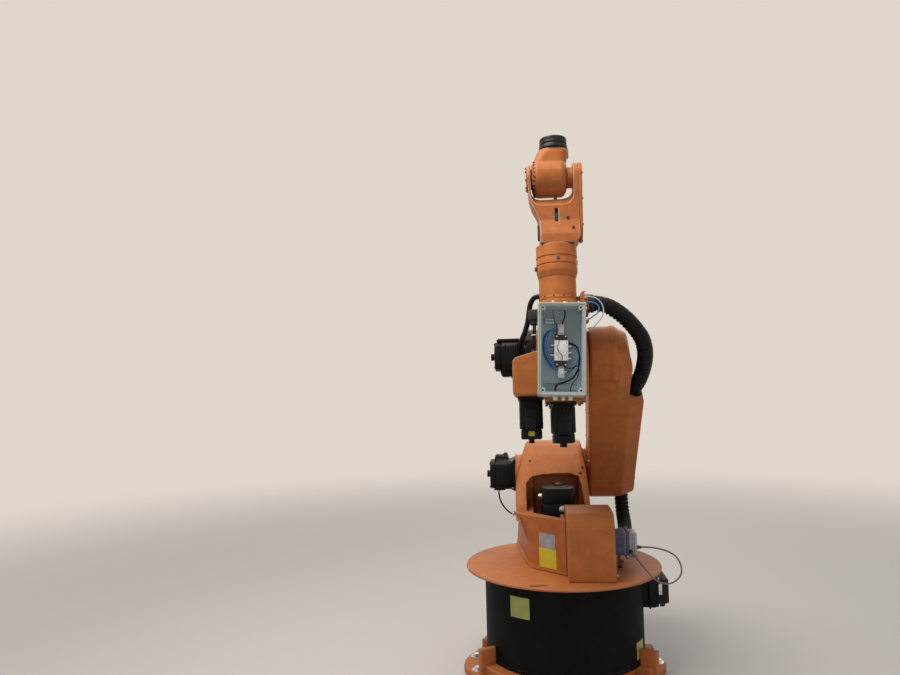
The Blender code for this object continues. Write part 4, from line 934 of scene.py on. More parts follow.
def loose_object(name: str, base: bpy.types.Mesh, shells: list[Shell]) -> bpy.types.Object:
    """Return an object of a merged copy of a mesh together with closed shells.

    Args:
        name: the object's name.
        base: the mesh that is copied.
        shells: closed shells that are added to it.

    Returns:
        The object.
    """
    shape = bmesh.new()
    shape.from_mesh(base)
    bmesh.ops.remove_doubles(shape, verts=shape.verts, dist=2e-5)
    if shells:
        more = joined(shells)
        spots = [shape.verts.new(p) for p in more.points]
        fresh = [shape.faces.new([spots[i] for i in row]) for f in more.faces for row in f.tolist()]
        bmesh.ops.recalc_face_normals(shape, faces=fresh)
        bmesh.ops.remove_doubles(shape, verts=spots, dist=1e-6)
    mesh = bpy.data.meshes.new(name)
    shape.to_mesh(mesh)
    shape.free()
    made = bpy.data.objects.new(name, mesh)
    bpy.context.scene.collection.objects.link(made)
    return made


def casting(name: str, node: str, finish: Finish, body: str, slot: str, voxel: float = 0.003,
            relax: int = 6, keep: float = 0.6,
            added: list[Shell] | None = None) -> bpy.types.Object:
    """Make a cast piece from a copy of a node, its edges rounded and its hollows filled.

    The copy is merged, joined with added ribs and bosses, covered with even small quads and
    relaxed, so that every edge takes the soft radius of a casting.

    Args:
        name: the piece's name.
        node: the frame's node.
        finish: its finish.
        body: the body that it rides on.
        slot: the record's material slot.
        voxel: size of the quads, in metres.
        relax: how often the surface is relaxed.
        keep: share of the faces that is kept at the end.
        added: closed shells that are fused with the casting.

    Returns:
        The object.
    """
    rough = loose_object(name + "_rough", frame["nodes"][node].data, added or [])
    cover = rough.modifiers.new("cover", "REMESH")
    cover.mode = "VOXEL"
    cover.voxel_size = voxel
    ease = rough.modifiers.new("ease", "SMOOTH")
    ease.factor = 0.5
    ease.iterations = relax
    if keep < 1.0:
        thin = rough.modifiers.new("thin", "DECIMATE")
        thin.ratio = keep
    seen = rough.evaluated_get(bpy.context.evaluated_depsgraph_get())
    smooth = bpy.data.meshes.new_from_object(seen)
    bpy.data.objects.remove(rough, do_unlink=True)
    smooth.name = name
    smooth.polygons.foreach_set("use_smooth", np.ones(len(smooth.polygons), bool))
    relief(smooth, voxel * 0.09)
    made = bpy.data.objects.new(name, smooth)
    return seated_piece(made, finish, body, slot, (node,))


def seat(node: str, start: Spot, toward: Spot, x: Spot = RIGHT) -> Space:
    """Return the space on a node's surface that a ray meets, its z standing off the surface.

    Args:
        node: the frame's node.
        start: where the ray starts, in the row frame.
        toward: its direction.
        x: the wanted direction of x.

    Returns:
        The space.
    """
    mesh = frame["nodes"][node].data
    tree = BVHTree.FromPolygons([v.co for v in mesh.vertices], [p.vertices for p in mesh.polygons])
    spot, normal, _, _ = tree.ray_cast(Vector(start), Vector(toward).normalized())
    if spot is None:
        raise ValueError(f"nothing of {node} lies before {start}")
    return Space.along(spot, normal, x)


def hex_bolt(size: float, washer: bool = True) -> Shell:
    """Return a hexagon head on its washer, standing on z = 0; size is the thread's.

    Args:
        size: the thread's diameter.
        washer: whether a washer lies under it.

    Returns:
        The bolt's shell.
    """
    turn = 0.9 * size
    head = prism(circle(turn, 6), 0.16 * size, 0.86 * size, 0.06 * size)
    shells = [head]
    if washer:
        shells.append(turned([(0.0, 0.16 * size), (1.15 * size, 0.16 * size), (1.15 * size, 0.0),
                              (0.0, 0.0)], 20))
    return joined(shells)


def cap_screw(size: float, rise: float = 1.0) -> Shell:
    """Return a socket head with its six-sided recess, standing on z = 0.

    Args:
        size: the thread's diameter.
        rise: height of its head, in diameters.

    Returns:
        The screw's shell.
    """
    r, h = 0.85 * size, rise * size
    outer = softened([(0.62 * r, h), (r, h), (r, 0.0), (0.0, 0.0)], 0.12 * size, 2)
    head = turned(outer, 18)
    recess = circle(0.52 * size, 18)
    recess *= np.tile([1.0, 0.93, 1.0], 6)[:, None]
    rings = [np.column_stack([circle(0.62 * r, 18), np.full(18, h)]),
             np.column_stack([recess, np.full(18, h - 0.06 * size)]),
             np.column_stack([recess * 0.97, np.full(18, 0.4 * h)])]
    cup = skin(np.stack(rings), wrap_columns=True)
    cup.faces.append(np.arange(36, 54)[None])
    return joined([head, cup])


def ring_of(shell: Shell, space: Space, radius: float, count: int, first_deg: float = 0.0,
            span_deg: float = 360.0) -> list[Shell]:
    """Return copies of a shell on a circle about a space's z, standing along it.

    Args:
        shell: what is copied.
        space: the space whose z is the circle's axis.
        radius: the circle's radius.
        count: how many copies.
        first_deg: angle of the first.
        span_deg: the angle that they share.

    Returns:
        The copies.
    """
    made = []
    for k in range(count):
        a = math.radians(first_deg + span_deg * k / count)
        made.append(shell.within(space.at(radius * math.cos(a), radius * math.sin(a), 0.0)))
    return made


# Spaces of the arm

TOUCH = 0.0003
CORNERS = ((-1, -1), (-1, 1), (1, -1), (1, 1))
JOINT = {joint["name"]: joint for joint in frame["joints"]}
A2 = np.array(JOINT["a2_link_arm"]["pos_m"])
A3 = np.array(JOINT["a3_upper_arm"]["pos_m"])
A5 = np.array(JOINT["a5_wrist"]["pos_m"])
ARM_WAY = np.array(JOINT["a4_fork"]["axis"])
LINK = Space.along(A2, A3 - A2)
ARM = Space.along(A3, ARM_WAY)
FORK = Space.along(np.array(JOINT["a4_fork"]["pos_m"]), ARM_WAY)
WRIST = Space.along(A5, ARM_WAY)
BOX_TILT = math.radians(2.0)
BOX = Space(ARM.put((-0.001, -0.2258, -0.016)),
            np.array([[math.cos(BOX_TILT), 0.0, -math.sin(BOX_TILT)],
                      [math.sin(BOX_TILT), 0.0, math.cos(BOX_TILT)],
                      [0.0, -1.0, 0.0]]) @ ARM.axes)
BOX_W, BOX_H, BOX_D, BOX_WALL, BOX_BACK = 0.150, 0.294, 0.090, 0.011, 0.006
HOUSING_REAR, HOUSING_FRONT, PLATE_REAR = -0.1533, 0.165, -0.1756


# Cords


@dataclass
class Cord:
    """A cord, cable or hose that is held at both ends.

    Args:
        name: its node's name in the frame, or a new name for one of several strands.
        knots: the points that its route runs through, as in the part's source.
        radius: half its diameter.
        space: the space in which the knots are given.
        finish: its finish.
        slot: the record's material slot.
        stiffness: limp, medium or stiff.
        bodies: the body that it rides on, or the two that it bends between.
        pitch: length of one corrugation, or 0 for a plain cord.
        depth: depth of the corrugations.
        node: the frame's node that it stands for, where that has another name.
    """

    name: str
    knots: list[Spot]
    radius: float
    space: Space
    finish: Finish
    slot: str
    stiffness: str
    bodies: tuple[str, ...]
    pitch: float = 0.0
    depth: float = 0.0
    node: str | None = None

    def ribs(self, path: np.ndarray, sides: int) -> np.ndarray:
        """Return the radius along and around a corrugated hose, deepest on its inner side.

        Args:
            path: the hose's middle line.
            sides: points of its ring.

        Returns:
            A radius for each point of the path and each side.
        """
        along = np.linspace(0.0, run_length(path) / self.pitch, len(path)) * math.pi
        groove = 1.0 - np.abs(np.sin(along)) ** 0.8
        a = np.arange(sides) * (2.0 * math.pi / sides)
        side = pipe_sides(path)[0]
        inward = np.sign(np.sum(side * (path.mean(axis=0) - path), axis=1).mean())
        share = 0.10 + 0.90 * (0.5 + 0.5 * inward * np.cos(a)) ** 1.4
        return self.radius - self.depth * groove[:, None] * share

    def build(self) -> bpy.types.Object:
        """Make the cord, with rounded ribs along it where it is a corrugated hose.

        Returns:
            The cord's object.
        """
        sides = 24 if self.pitch else 10
        path = route([tuple(self.space.put(k)) for k in self.knots],
                     self.pitch / 6 if self.pitch else self.radius * 0.8)
        long = run_length(path)
        radius = self.ribs(path, sides) if self.pitch else self.radius
        body = self.bodies[0] if len(self.bodies) == 1 else ""
        stands_for = (self.name,) if self.node is None else ((self.node,) if self.node else ())
        made = piece(self.name + "_skin", pipe(path, radius, sides), self.finish, body,
                     self.slot, stands_for, 60.0)
        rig.cord(made, exit=tuple(path[0]), length=long, diameter=2 * self.radius,
                far_end="object", stiffness=self.stiffness, lay="hanging",
                path=[tuple(p) for p in path])
        if len(self.bodies) == 2:
            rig.blend(made, *self.bodies, start=tuple(path[0]), end=tuple(path[-1]))
        return made


@dataclass
class Cords:
    """Every cord on the arm."""

    hose_r: float = 0.0275
    hose_pitch: float = 0.0165
    hose_depth: float = 0.0072
    patch_r: float = 0.0028
    cable_r: float = 0.0032
    air_r: float = 0.0022
    wire_r: float = 0.0030
    bundle_r: float = 0.009

    def build(self) -> None:
        """Make the hoses, cables and air tubes."""
        for cord in (*self.column_cords(), *self.arm_cords(), *self.side_cords(),
                     *self.box_cords()):
            cord.build()

    def column_cords(self) -> list[Cord]:
        """Return the cords on the column: patch cable, motor cable and lower hose.

        Returns:
            The three cords.
        """
        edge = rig.box("connector_plug")[1].x + TOUCH
        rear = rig.box("connector_plug")[0].y - TOUCH
        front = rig.box("connector_block")[1].y + TOUCH
        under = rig.box("a2_motor")[0].z + 0.004 - TOUCH
        y, z = -0.125, 0.468
        hose_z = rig.box("connector_block")[1].z - self.hose_r - 0.016
        near, far = 0.226, 0.260
        mouth = A2[2] - 0.100
        return [
            Cord("patch_cable", [
                (edge, y, z), (edge + 0.008, y, z), (edge + 0.017, y, z), (0.298, y - 0.002, z),
                (0.330, y - 0.007, 0.464), (0.362, y - 0.017, 0.455), (0.385, y - 0.026, 0.438),
                (0.396, -0.160, 0.412), (0.393, -0.171, 0.389), (0.377, -0.183, 0.373),
                (0.352, -0.197, 0.364), (0.322, -0.211, 0.368), (0.297, -0.219, 0.383),
                (0.275, -0.211, 0.406), (0.255, -0.194, 0.431), (0.240, -0.175, 0.449),
                (0.2315, rear - 0.014, 0.456), (0.2315, rear - 0.007, 0.456),
                (0.2315, rear, 0.456),
            ], self.patch_r, WORLD, GREY_CABLE, "thin_cable", "medium", ("column",)),
            Cord("a2_motor_cable", [
                (-0.238, 0.270, under), (-0.238, 0.270, 0.604), (-0.238, 0.270, 0.597),
                (-0.235, 0.270, 0.576), (-0.226, 0.270, 0.552), (-0.211, 0.270, 0.531),
                (-0.194, 0.270, 0.516), (-0.186, 0.270, 0.512), (-0.182, 0.270, 0.512),
                (-0.1753, 0.270, 0.512),
            ], self.cable_r, WORLD, WIRE, "thin_cable", "medium", ("column",)),
            Cord("lower_hose", [
                (near, front, hose_z), (near, -0.048, hose_z), (near, -0.035, hose_z),
                (near + 0.002, 0.015, hose_z - 0.004), (near + 0.010, 0.075, hose_z - 0.012),
                (far - 0.013, 0.135, hose_z - 0.016), (far - 0.004, 0.190, hose_z - 0.011),
                (far, 0.238, hose_z + 0.007), (far, 0.274, hose_z + 0.037),
                (far, 0.292, mouth - 0.025), (far, A2[1], mouth + 0.005),
                (far, A2[1], mouth + 0.031),
            ], self.hose_r, WORLD, HOSE, "black_hose", "stiff", ("column", "link_arm"),
                self.hose_pitch, self.hose_depth),
        ]

    def arm_cords(self) -> list[Cord]:
        """Return the cords outside on the upper arm.

        Returns:
            The hose, the cable and the two tubes.
        """
        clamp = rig.box("hose_clamp")[1].x + TOUCH
        y = -0.163
        front = y - 0.0303
        side = BOX_W / 2 + TOUCH
        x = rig.box("a3_motor")[1].x - 0.0195
        start, end = -0.0533, -0.0628
        z = HOUSING_FRONT + 0.019
        return [
            Cord("upper_hose", [
                (clamp, y, 0.153), (clamp + 0.010, y, 0.153), (clamp + 0.022, y, 0.153),
                (0.145, y - 0.003, 0.1475), (0.170, y - 0.003, 0.138), (0.202, -0.157, 0.118),
                (0.232, -0.143, 0.093), (0.258, -0.124, 0.066), (0.279, -0.101, 0.040),
                (0.291, -0.072, 0.013), (0.297, -0.040, -0.012), (0.298, -0.006, -0.036),
                (0.295, 0.030, -0.061), (0.288, 0.064, -0.086), (0.277, 0.094, -0.108),
                (0.271, 0.1174, -0.1273), (0.270, 0.137, -0.1436), (0.270, 0.1538, -0.1586),
            ], self.hose_r, ARM, HOSE, "black_hose", "stiff", ("upper_arm", "link_arm"),
                self.hose_pitch, self.hose_depth),
            Cord("cable_bundle", [
                (x, start, 0.030), (x, start - 0.008, 0.030), (x + 0.001, -0.072, 0.032),
                (x + 0.010, -0.092, 0.050), (x + 0.022, -0.105, 0.076),
                (x + 0.031, -0.116, 0.105), (x + 0.036, -0.127, 0.135),
                (x + 0.041, -0.139, 0.160), (end - 0.022, -0.149, 0.176),
                (end - 0.013, -0.154, z - 0.001), (end - 0.007, -0.155, z), (end, -0.155, z),
            ], self.bundle_r, ARM, WIRE, "black_hose", "medium", ("upper_arm",)),
            Cord("clamp_tube_pale", [
                (0.088, front, 0.168), (0.088, front - 0.007, 0.168),
                (0.089, front - 0.013, 0.168), (0.100, -0.214, 0.167), (0.120, -0.217, 0.160),
                (0.137, -0.219, 0.142), (0.142, -0.224, 0.116), (0.133, -0.232, 0.092),
                (0.116, -0.245, 0.071), *self.on_box((side + 0.018, 0.067, 0.034),
                                                     (side + 0.008, 0.066, 0.036),
                                                     (side, 0.066, 0.036)),
            ], self.air_r, ARM, GREY_TUBE, "pale_tube", "medium", ("upper_arm",)),
            Cord("clamp_tube_blue", [
                (0.088, front, 0.148), (0.088, front - 0.007, 0.148),
                (0.090, front - 0.013, 0.148), (0.104, -0.213, 0.148), (0.120, -0.216, 0.142),
                (0.129, -0.220, 0.126), (0.122, -0.228, 0.109), (0.107, -0.238, 0.097),
                *self.on_box((side + 0.016, 0.106, 0.022), (side + 0.008, 0.105, 0.024),
                             (side, 0.105, 0.024)),
            ], self.air_r, ARM, BLUE_TUBE, "blue_tube", "medium", ("upper_arm",)),
        ]

    def side_cords(self) -> list[Cord]:
        """Return the strands beside the box's upper left, from the bracket to the lobe.

        Returns:
            The four strands.
        """
        cords = []
        for k in range(4):
            a = math.radians(45.0 + 90.0 * k)
            u, v = 0.0045 * math.cos(a), 0.0045 * math.sin(a)
            knots = [(-0.0820 + u, -0.1680 + v, 0.0858), (-0.0820 + u, -0.1680 + v, 0.080),
                     (-0.0825 + u, -0.1690 + v, 0.070), (-0.0835 + u, -0.1720 + v, 0.050),
                     (-0.0848 + u * 1.2, -0.1750 + v * 1.2, 0.028),
                     (-0.0852 + u, -0.1757 + v, 0.012), (-0.0850 + u * 0.7, -0.1755 + v * 0.7, 0.004),
                     (-0.0850 + u * 0.6, -0.1755 + v * 0.6, -0.0015)]
            cords.append(Cord(f"side_cable_{k + 1}", knots, 0.0030, ARM, WIRE, "thin_cable",
                              "medium", ("upper_arm",), node=""))
        return cords

    @staticmethod
    def on_box(*spots: Spot) -> list[Spot]:
        """Return spots of the valve box in the arm's own space."""
        return [tuple((BOX.put(s) - ARM.origin) @ ARM.axes.T) for s in spots]

    def box_cords(self) -> list[Cord]:
        """Return the air tubes and wires inside the valve box.

        Returns:
            The tubes and wires.
        """
        coil, valve = 0.0103, 0.0223
        wall = BOX_H / 2 - BOX_WALL - TOUCH
        top = 0.0863
        blue = (self.air_r, BOX, BLUE_TUBE, "blue_tube", "medium", ("upper_arm",))
        black = (BOX, WIRE, "thin_cable", "medium", ("upper_arm",))
        left = [
            (-coil, 0.066, 0.022), (-coil - 0.007, 0.066, 0.022), (-coil - 0.014, 0.067, 0.023),
            (-0.041, 0.062, 0.031), (-0.055, 0.042, 0.038), (-0.058, 0.012, 0.041),
            (-0.052, -0.020, 0.038), (-0.038, -0.044, 0.031), (-coil - 0.014, -0.057, 0.023),
            (-coil - 0.007, -0.058, 0.022), (-coil, -0.058, 0.022)]
        right = [
            (valve, 0.014, 0.026), (valve + 0.006, 0.014, 0.026), (valve + 0.012, 0.013, 0.028),
            (0.048, 0.003, 0.038), (0.054, -0.018, 0.041), (0.049, -0.042, 0.037),
            (0.036, -0.059, 0.029), (coil + 0.014, -0.066, 0.023), (coil + 0.007, -0.067, 0.022),
            (coil, -0.067, 0.022)]
        cords = [Cord("box_tube_left", left, *blue), Cord("box_tube_right", right, *blue)]
        for k, (lift, shrink) in enumerate(((0.0062, 0.93), (0.0115, 0.82))):
            knots = [(u * (shrink if abs(u) > 0.03 else 1.0), v * (shrink if abs(v) < 0.05 else 1.0),
                      d + lift) for u, v, d in left]
            cords.append(Cord(f"box_tube_left_{k + 2}", knots, *blue, node=""))
        cords += [
            Cord("box_wire_top", [
                (0.012, wall, 0.030), (0.012, wall - 0.007, 0.030), (0.0125, wall - 0.015, 0.030),
                (0.011, 0.109, 0.027), (0.006, top + 0.010, 0.022), (0.005, top + 0.005, 0.022),
                (0.005, top, 0.022)], self.air_r, *black),
            Cord("box_wire_top_2", [
                (-0.026, wall, 0.040), (-0.026, wall - 0.008, 0.040), (-0.025, 0.115, 0.039),
                (-0.022, 0.100, 0.034), (-0.016, 0.088, 0.028), (-0.0135, 0.080, 0.026),
                (-0.0135, 0.072, 0.026), (coil * -1, 0.071, 0.025)],
                 0.0012, *black, node=""),
            Cord("box_wire_right", [
                (valve, 0.026, 0.016), (valve + 0.007, 0.026, 0.016),
                (valve + 0.015, 0.024, 0.017), (0.052, 0.010, 0.023), (0.058, -0.020, 0.024),
                (0.055, -0.055, 0.022), (0.040, -0.083, 0.020), (0.014, -0.099, 0.022),
                (-0.010, -0.107, 0.028), (-0.018, 0.016 - wall, 0.030),
                (-0.018, 0.008 - wall, 0.030), (-0.018, -wall, 0.030)], self.wire_r, *black),
            Cord("box_wire_right_2", [
                (coil, -0.054, 0.025), (coil + 0.006, -0.054, 0.025), (0.030, -0.056, 0.030),
                (0.050, -0.050, 0.038), (0.056, -0.062, 0.040), (0.050, -0.086, 0.040),
                (0.036, -0.104, 0.040), (0.029, 0.015 - wall, 0.040), (0.028, 0.007 - wall, 0.040),
                (0.028, -wall, 0.040)], 0.0016, *black, node=""),
            Cord("box_wire_front", [
                (-0.006, 0.0330, 0.0400), (-0.006, 0.032, 0.046), (-0.009, 0.022, 0.0495),
                (-0.013, 0.008, 0.0495), (-0.008, -0.006, 0.0500), (0.001, -0.016, 0.0500),
                (0.003, -0.026, 0.048), (0.003, -0.031, 0.0445)], 0.0010, *black, node=""),
        ]
        return cords


# Studio


@dataclass
class Studio:
    """Floor, light and the camera that stands where the photograph's did."""

    place: Spot = (-0.121, -2.740, 1.074)
    heading_deg: float = 5.79
    pitch_deg: float = 3.21
    roll_deg: float = 1.30
    lens: float = 28.85
    floor: Spot = (0.62, 0.59, 0.55)
    backdrop: Spot = (0.74, 0.68, 0.605)
    pale_from: float = 1.5
    pale_to: float = 6.0

    def build(self) -> None:
        """Make the camera, the lamps, the floor and the world."""
        scene = bpy.context.scene
        scene.view_settings.view_transform = "Standard"
        self.camera()
        self.lamp("key", (-0.9, -0.95, 3.5), 1.7, 82.0, (1.0, 0.96, 0.90))
        self.lamp("fill", (2.2, -2.6, 1.6), 2.4, 9.0, (0.94, 0.96, 1.0))
        self.lamp("back", (0.6, 2.6, 3.2), 2.6, 40.0, (1.0, 0.97, 0.93))
        mesh = bpy.data.meshes.new("floor")
        reach = 30.0
        mesh.from_pydata([(-reach, -reach, 0), (reach, -reach, 0), (reach, reach, 0),
                          (-reach, reach, 0)], [], [(0, 1, 2, 3)])
        ground = bpy.data.objects.new("floor", mesh)
        scene.collection.objects.link(ground)
        paint = bpy.data.materials.new("pale_floor")
        paint.use_nodes = True
        tree = Tree(paint.node_tree)
        surface = paint.node_tree.nodes["Principled BSDF"]
        surface.inputs["Base Color"].default_value = (*self.floor, 1.0)
        surface.inputs["Roughness"].default_value = 0.8
        away = tree.add("VectorMath", {0: tree.add("TexCoord").outputs["Object"]},
                        operation="LENGTH")
        far = tree.add("MapRange", {"Value": away.outputs["Value"], "From Min": self.pale_from,
                                    "From Max": self.pale_to}, interpolation_type="SMOOTHSTEP")
        shown = tree.add("Emission", {"Color": (*self.backdrop, 1.0), "Strength": 1.0})
        mix = tree.add("MixShader", {0: tree.math("MULTIPLY", far.outputs[0], self.seen(tree)),
                                     1: surface.outputs[0], 2: shown.outputs[0]})
        tree.tree.links.new(mix.outputs[0],
                            paint.node_tree.nodes["Material Output"].inputs["Surface"])
        mesh.materials.append(paint)
        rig.stage(ground)
        self.world()

    def camera(self) -> None:
        """Aim the camera: heading about z, pitch upwards, then roll."""
        heading, pitch, roll = (math.radians(a) for a in
                                (self.heading_deg, self.pitch_deg, self.roll_deg))
        data = bpy.data.cameras.new("camera")
        data.sensor_fit = "HORIZONTAL"
        data.sensor_width = 36.0
        data.lens = self.lens
        eye = bpy.data.objects.new("camera", data)
        bpy.context.scene.collection.objects.link(eye)
        eye.matrix_world = (Matrix.Translation(self.place) @ Matrix.Rotation(heading, 4, "Z")
                            @ Matrix.Rotation(math.pi / 2 + pitch, 4, "X")
                            @ Matrix.Rotation(-roll, 4, "Z"))
        bpy.context.scene.camera = eye

    @staticmethod
    def seen(tree: "Tree") -> bpy.types.NodeSocket:
        """Return 1 for rays from the camera, and for those mirrored or let through.

        Args:
            tree: the node tree that gets the nodes.

        Returns:
            The output socket.
        """
        rays = tree.add("LightPath")
        clear = tree.math("MAXIMUM", rays.outputs["Is Camera Ray"],
                          rays.outputs["Is Transmission Ray"])
        return tree.math("MAXIMUM", clear, rays.outputs["Is Glossy Ray"])

    def lamp(self, name: str, place: Spot, size: float, power: float, colour: Spot) -> None:
        """Add a soft area lamp that looks at the middle of the arm.

        Args:
            name: its name.
            place: its place.
            size: its width.
            power: its watts.
            colour: its colour.
        """
        data = bpy.data.lights.new(name, "AREA")
        data.size = size
        data.energy = power
        data.color = colour
        made = bpy.data.objects.new(name, data)
        made.location = place
        aim = Vector((0.0, 0.0, 0.9)) - Vector(place)
        made.rotation_euler = aim.to_track_quat("-Z", "Y").to_euler()
        bpy.context.scene.collection.objects.link(made)

    def world(self) -> None:
        """Light softly from all round, with the plain backdrop shown to the camera."""
        world = bpy.data.worlds.new("studio")
        bpy.context.scene.world = world
        world.use_nodes = True
        tree = Tree(world.node_tree)
        world.node_tree.nodes.clear()
        soft = tree.add("Background", {"Color": (0.92, 0.94, 1.0, 1.0), "Strength": 0.30})
        shown = tree.add("Background", {"Color": (*self.backdrop, 1.0), "Strength": 1.0})
        mix = tree.add("MixShader", {0: self.seen(tree), 1: soft.outputs[0], 2: shown.outputs[0]})
        tree.add("OutputWorld", {"Surface": mix.outputs[0]})


# Small parts


def resampled(outline: np.ndarray, spacing: float) -> np.ndarray:
    """Return a closed outline with points at even spacing.

    Args:
        outline: the closed outline.
        spacing: distance of its points.

    Returns:
        The new points.
    """
    closed = np.vstack([outline, outline[:1]])
    run = np.concatenate([[0.0], np.cumsum(np.linalg.norm(np.diff(closed, axis=0), axis=1))])
    at = np.linspace(0.0, run[-1], max(8, round(run[-1] / spacing)), endpoint=False)
    return np.stack([np.interp(at, run, closed[:, i]) for i in range(2)], axis=1)


def ribbed_box(width: float, radius: float, pitch: float, depth: float) -> np.ndarray:
    """Return a square outline with rounded ribs: pushed in by depth (1 - |sin(pi s / pitch)|).

    Args:
        width: the square's width.
        radius: radius of its corners.
        pitch: distance of its ribs.
        depth: depth of its grooves.

    Returns:
        The outline's points.
    """
    outline = resampled(soft_box(width, width, radius, 8), pitch / 6)
    ahead = unit(np.roll(outline, -1, axis=0) - np.roll(outline, 1, axis=0))
    inward = np.stack([-ahead[:, 1], ahead[:, 0]], axis=1)
    ribs = max(4, round(len(outline) / 24) * 4)
    phase = np.arange(len(outline)) * (math.pi * ribs / len(outline))
    return outline + inward * (depth * (1.0 - np.abs(np.sin(phase)) ** 0.5))[:, None]


def oval(half: float, run: float, steps: int = 8) -> np.ndarray:
    """Return an outline of two half circles of that radius, their middles run apart along y.

    Args:
        half: radius of its ends.
        run: distance of their middles.
        steps: steps of a half circle.

    Returns:
        The outline's points.
    """
    a = np.linspace(0.0, math.pi, steps + 1)
    top = np.stack([half * np.cos(a), half * np.sin(a) + run / 2], axis=1)
    return np.concatenate([top, -top])


def standing(shell: Shell, space: Space, spots: list[Spot]) -> list[Shell]:
    """Return copies of a shell at spots of a space, standing along its z."""
    return [shell.within(space.at(*spot)) for spot in spots]


def gland(radius: float, length: float) -> Shell:
    """Return a cable gland on z = 0: hexagon, collar and domed nut round a dark bore.

    Args:
        radius: radius of its nut.
        length: its height.

    Returns:
        The gland's shell.
    """
    nut = prism(circle(radius * 1.15, 6), 0.0, 0.38 * length, 0.06 * radius)
    dome = lathe([(0.55 * radius, length), (0.86 * radius, length), (radius, 0.72 * length),
                  (radius, 0.36 * length), (0.0, 0.36 * length)], 0.2 * radius, 24)
    return joined([nut, dome])


def round_plug(radius: float, length: float) -> Shell:
    """Return a round connector on z = 0: flange, knurled ring and back shell.

    Args:
        radius: radius of its ring.
        length: its height.

    Returns:
        The plug's shell.
    """
    knurl = circle(radius, 48) * (1.0 - 0.035 * (np.arange(48) % 2))[:, None]
    ring = prism(knurl, 0.10 * length, 0.55 * length, 0.06 * radius)
    back = lathe([(0.0, length), (0.62 * radius, length), (0.80 * radius, 0.62 * length),
                  (0.86 * radius, 0.50 * length), (0.0, 0.50 * length)], 0.12 * radius, 28)
    base = prism(soft_box(2.3 * radius, 2.3 * radius, 0.4 * radius), 0.0, 0.12 * length, 0.0004)
    return joined([base, ring, back])


def push_fitting(radius: float, length: float) -> Shell:
    """Return an air fitting on z = 0: hexagon, sleeve and release ring.

    Args:
        radius: radius of its sleeve.
        length: its height.

    Returns:
        The fitting's shell.
    """
    nut = prism(circle(radius * 1.25, 6), 0.0, 0.35 * length, 0.05 * radius)
    sleeve = lathe([(0.5 * radius, length), (0.85 * radius, length), (0.85 * radius, 0.86 * length),
                    (radius, 0.80 * length), (radius, 0.33 * length), (0.0, 0.33 * length)],
                   0.12 * radius, 20, 2)
    return joined([nut, sleeve])


# Servo motors


class Case(Enum):
    """How the sides of a servo motor are shaped."""

    PLAIN = "plain"
    RIBBED = "ribbed"


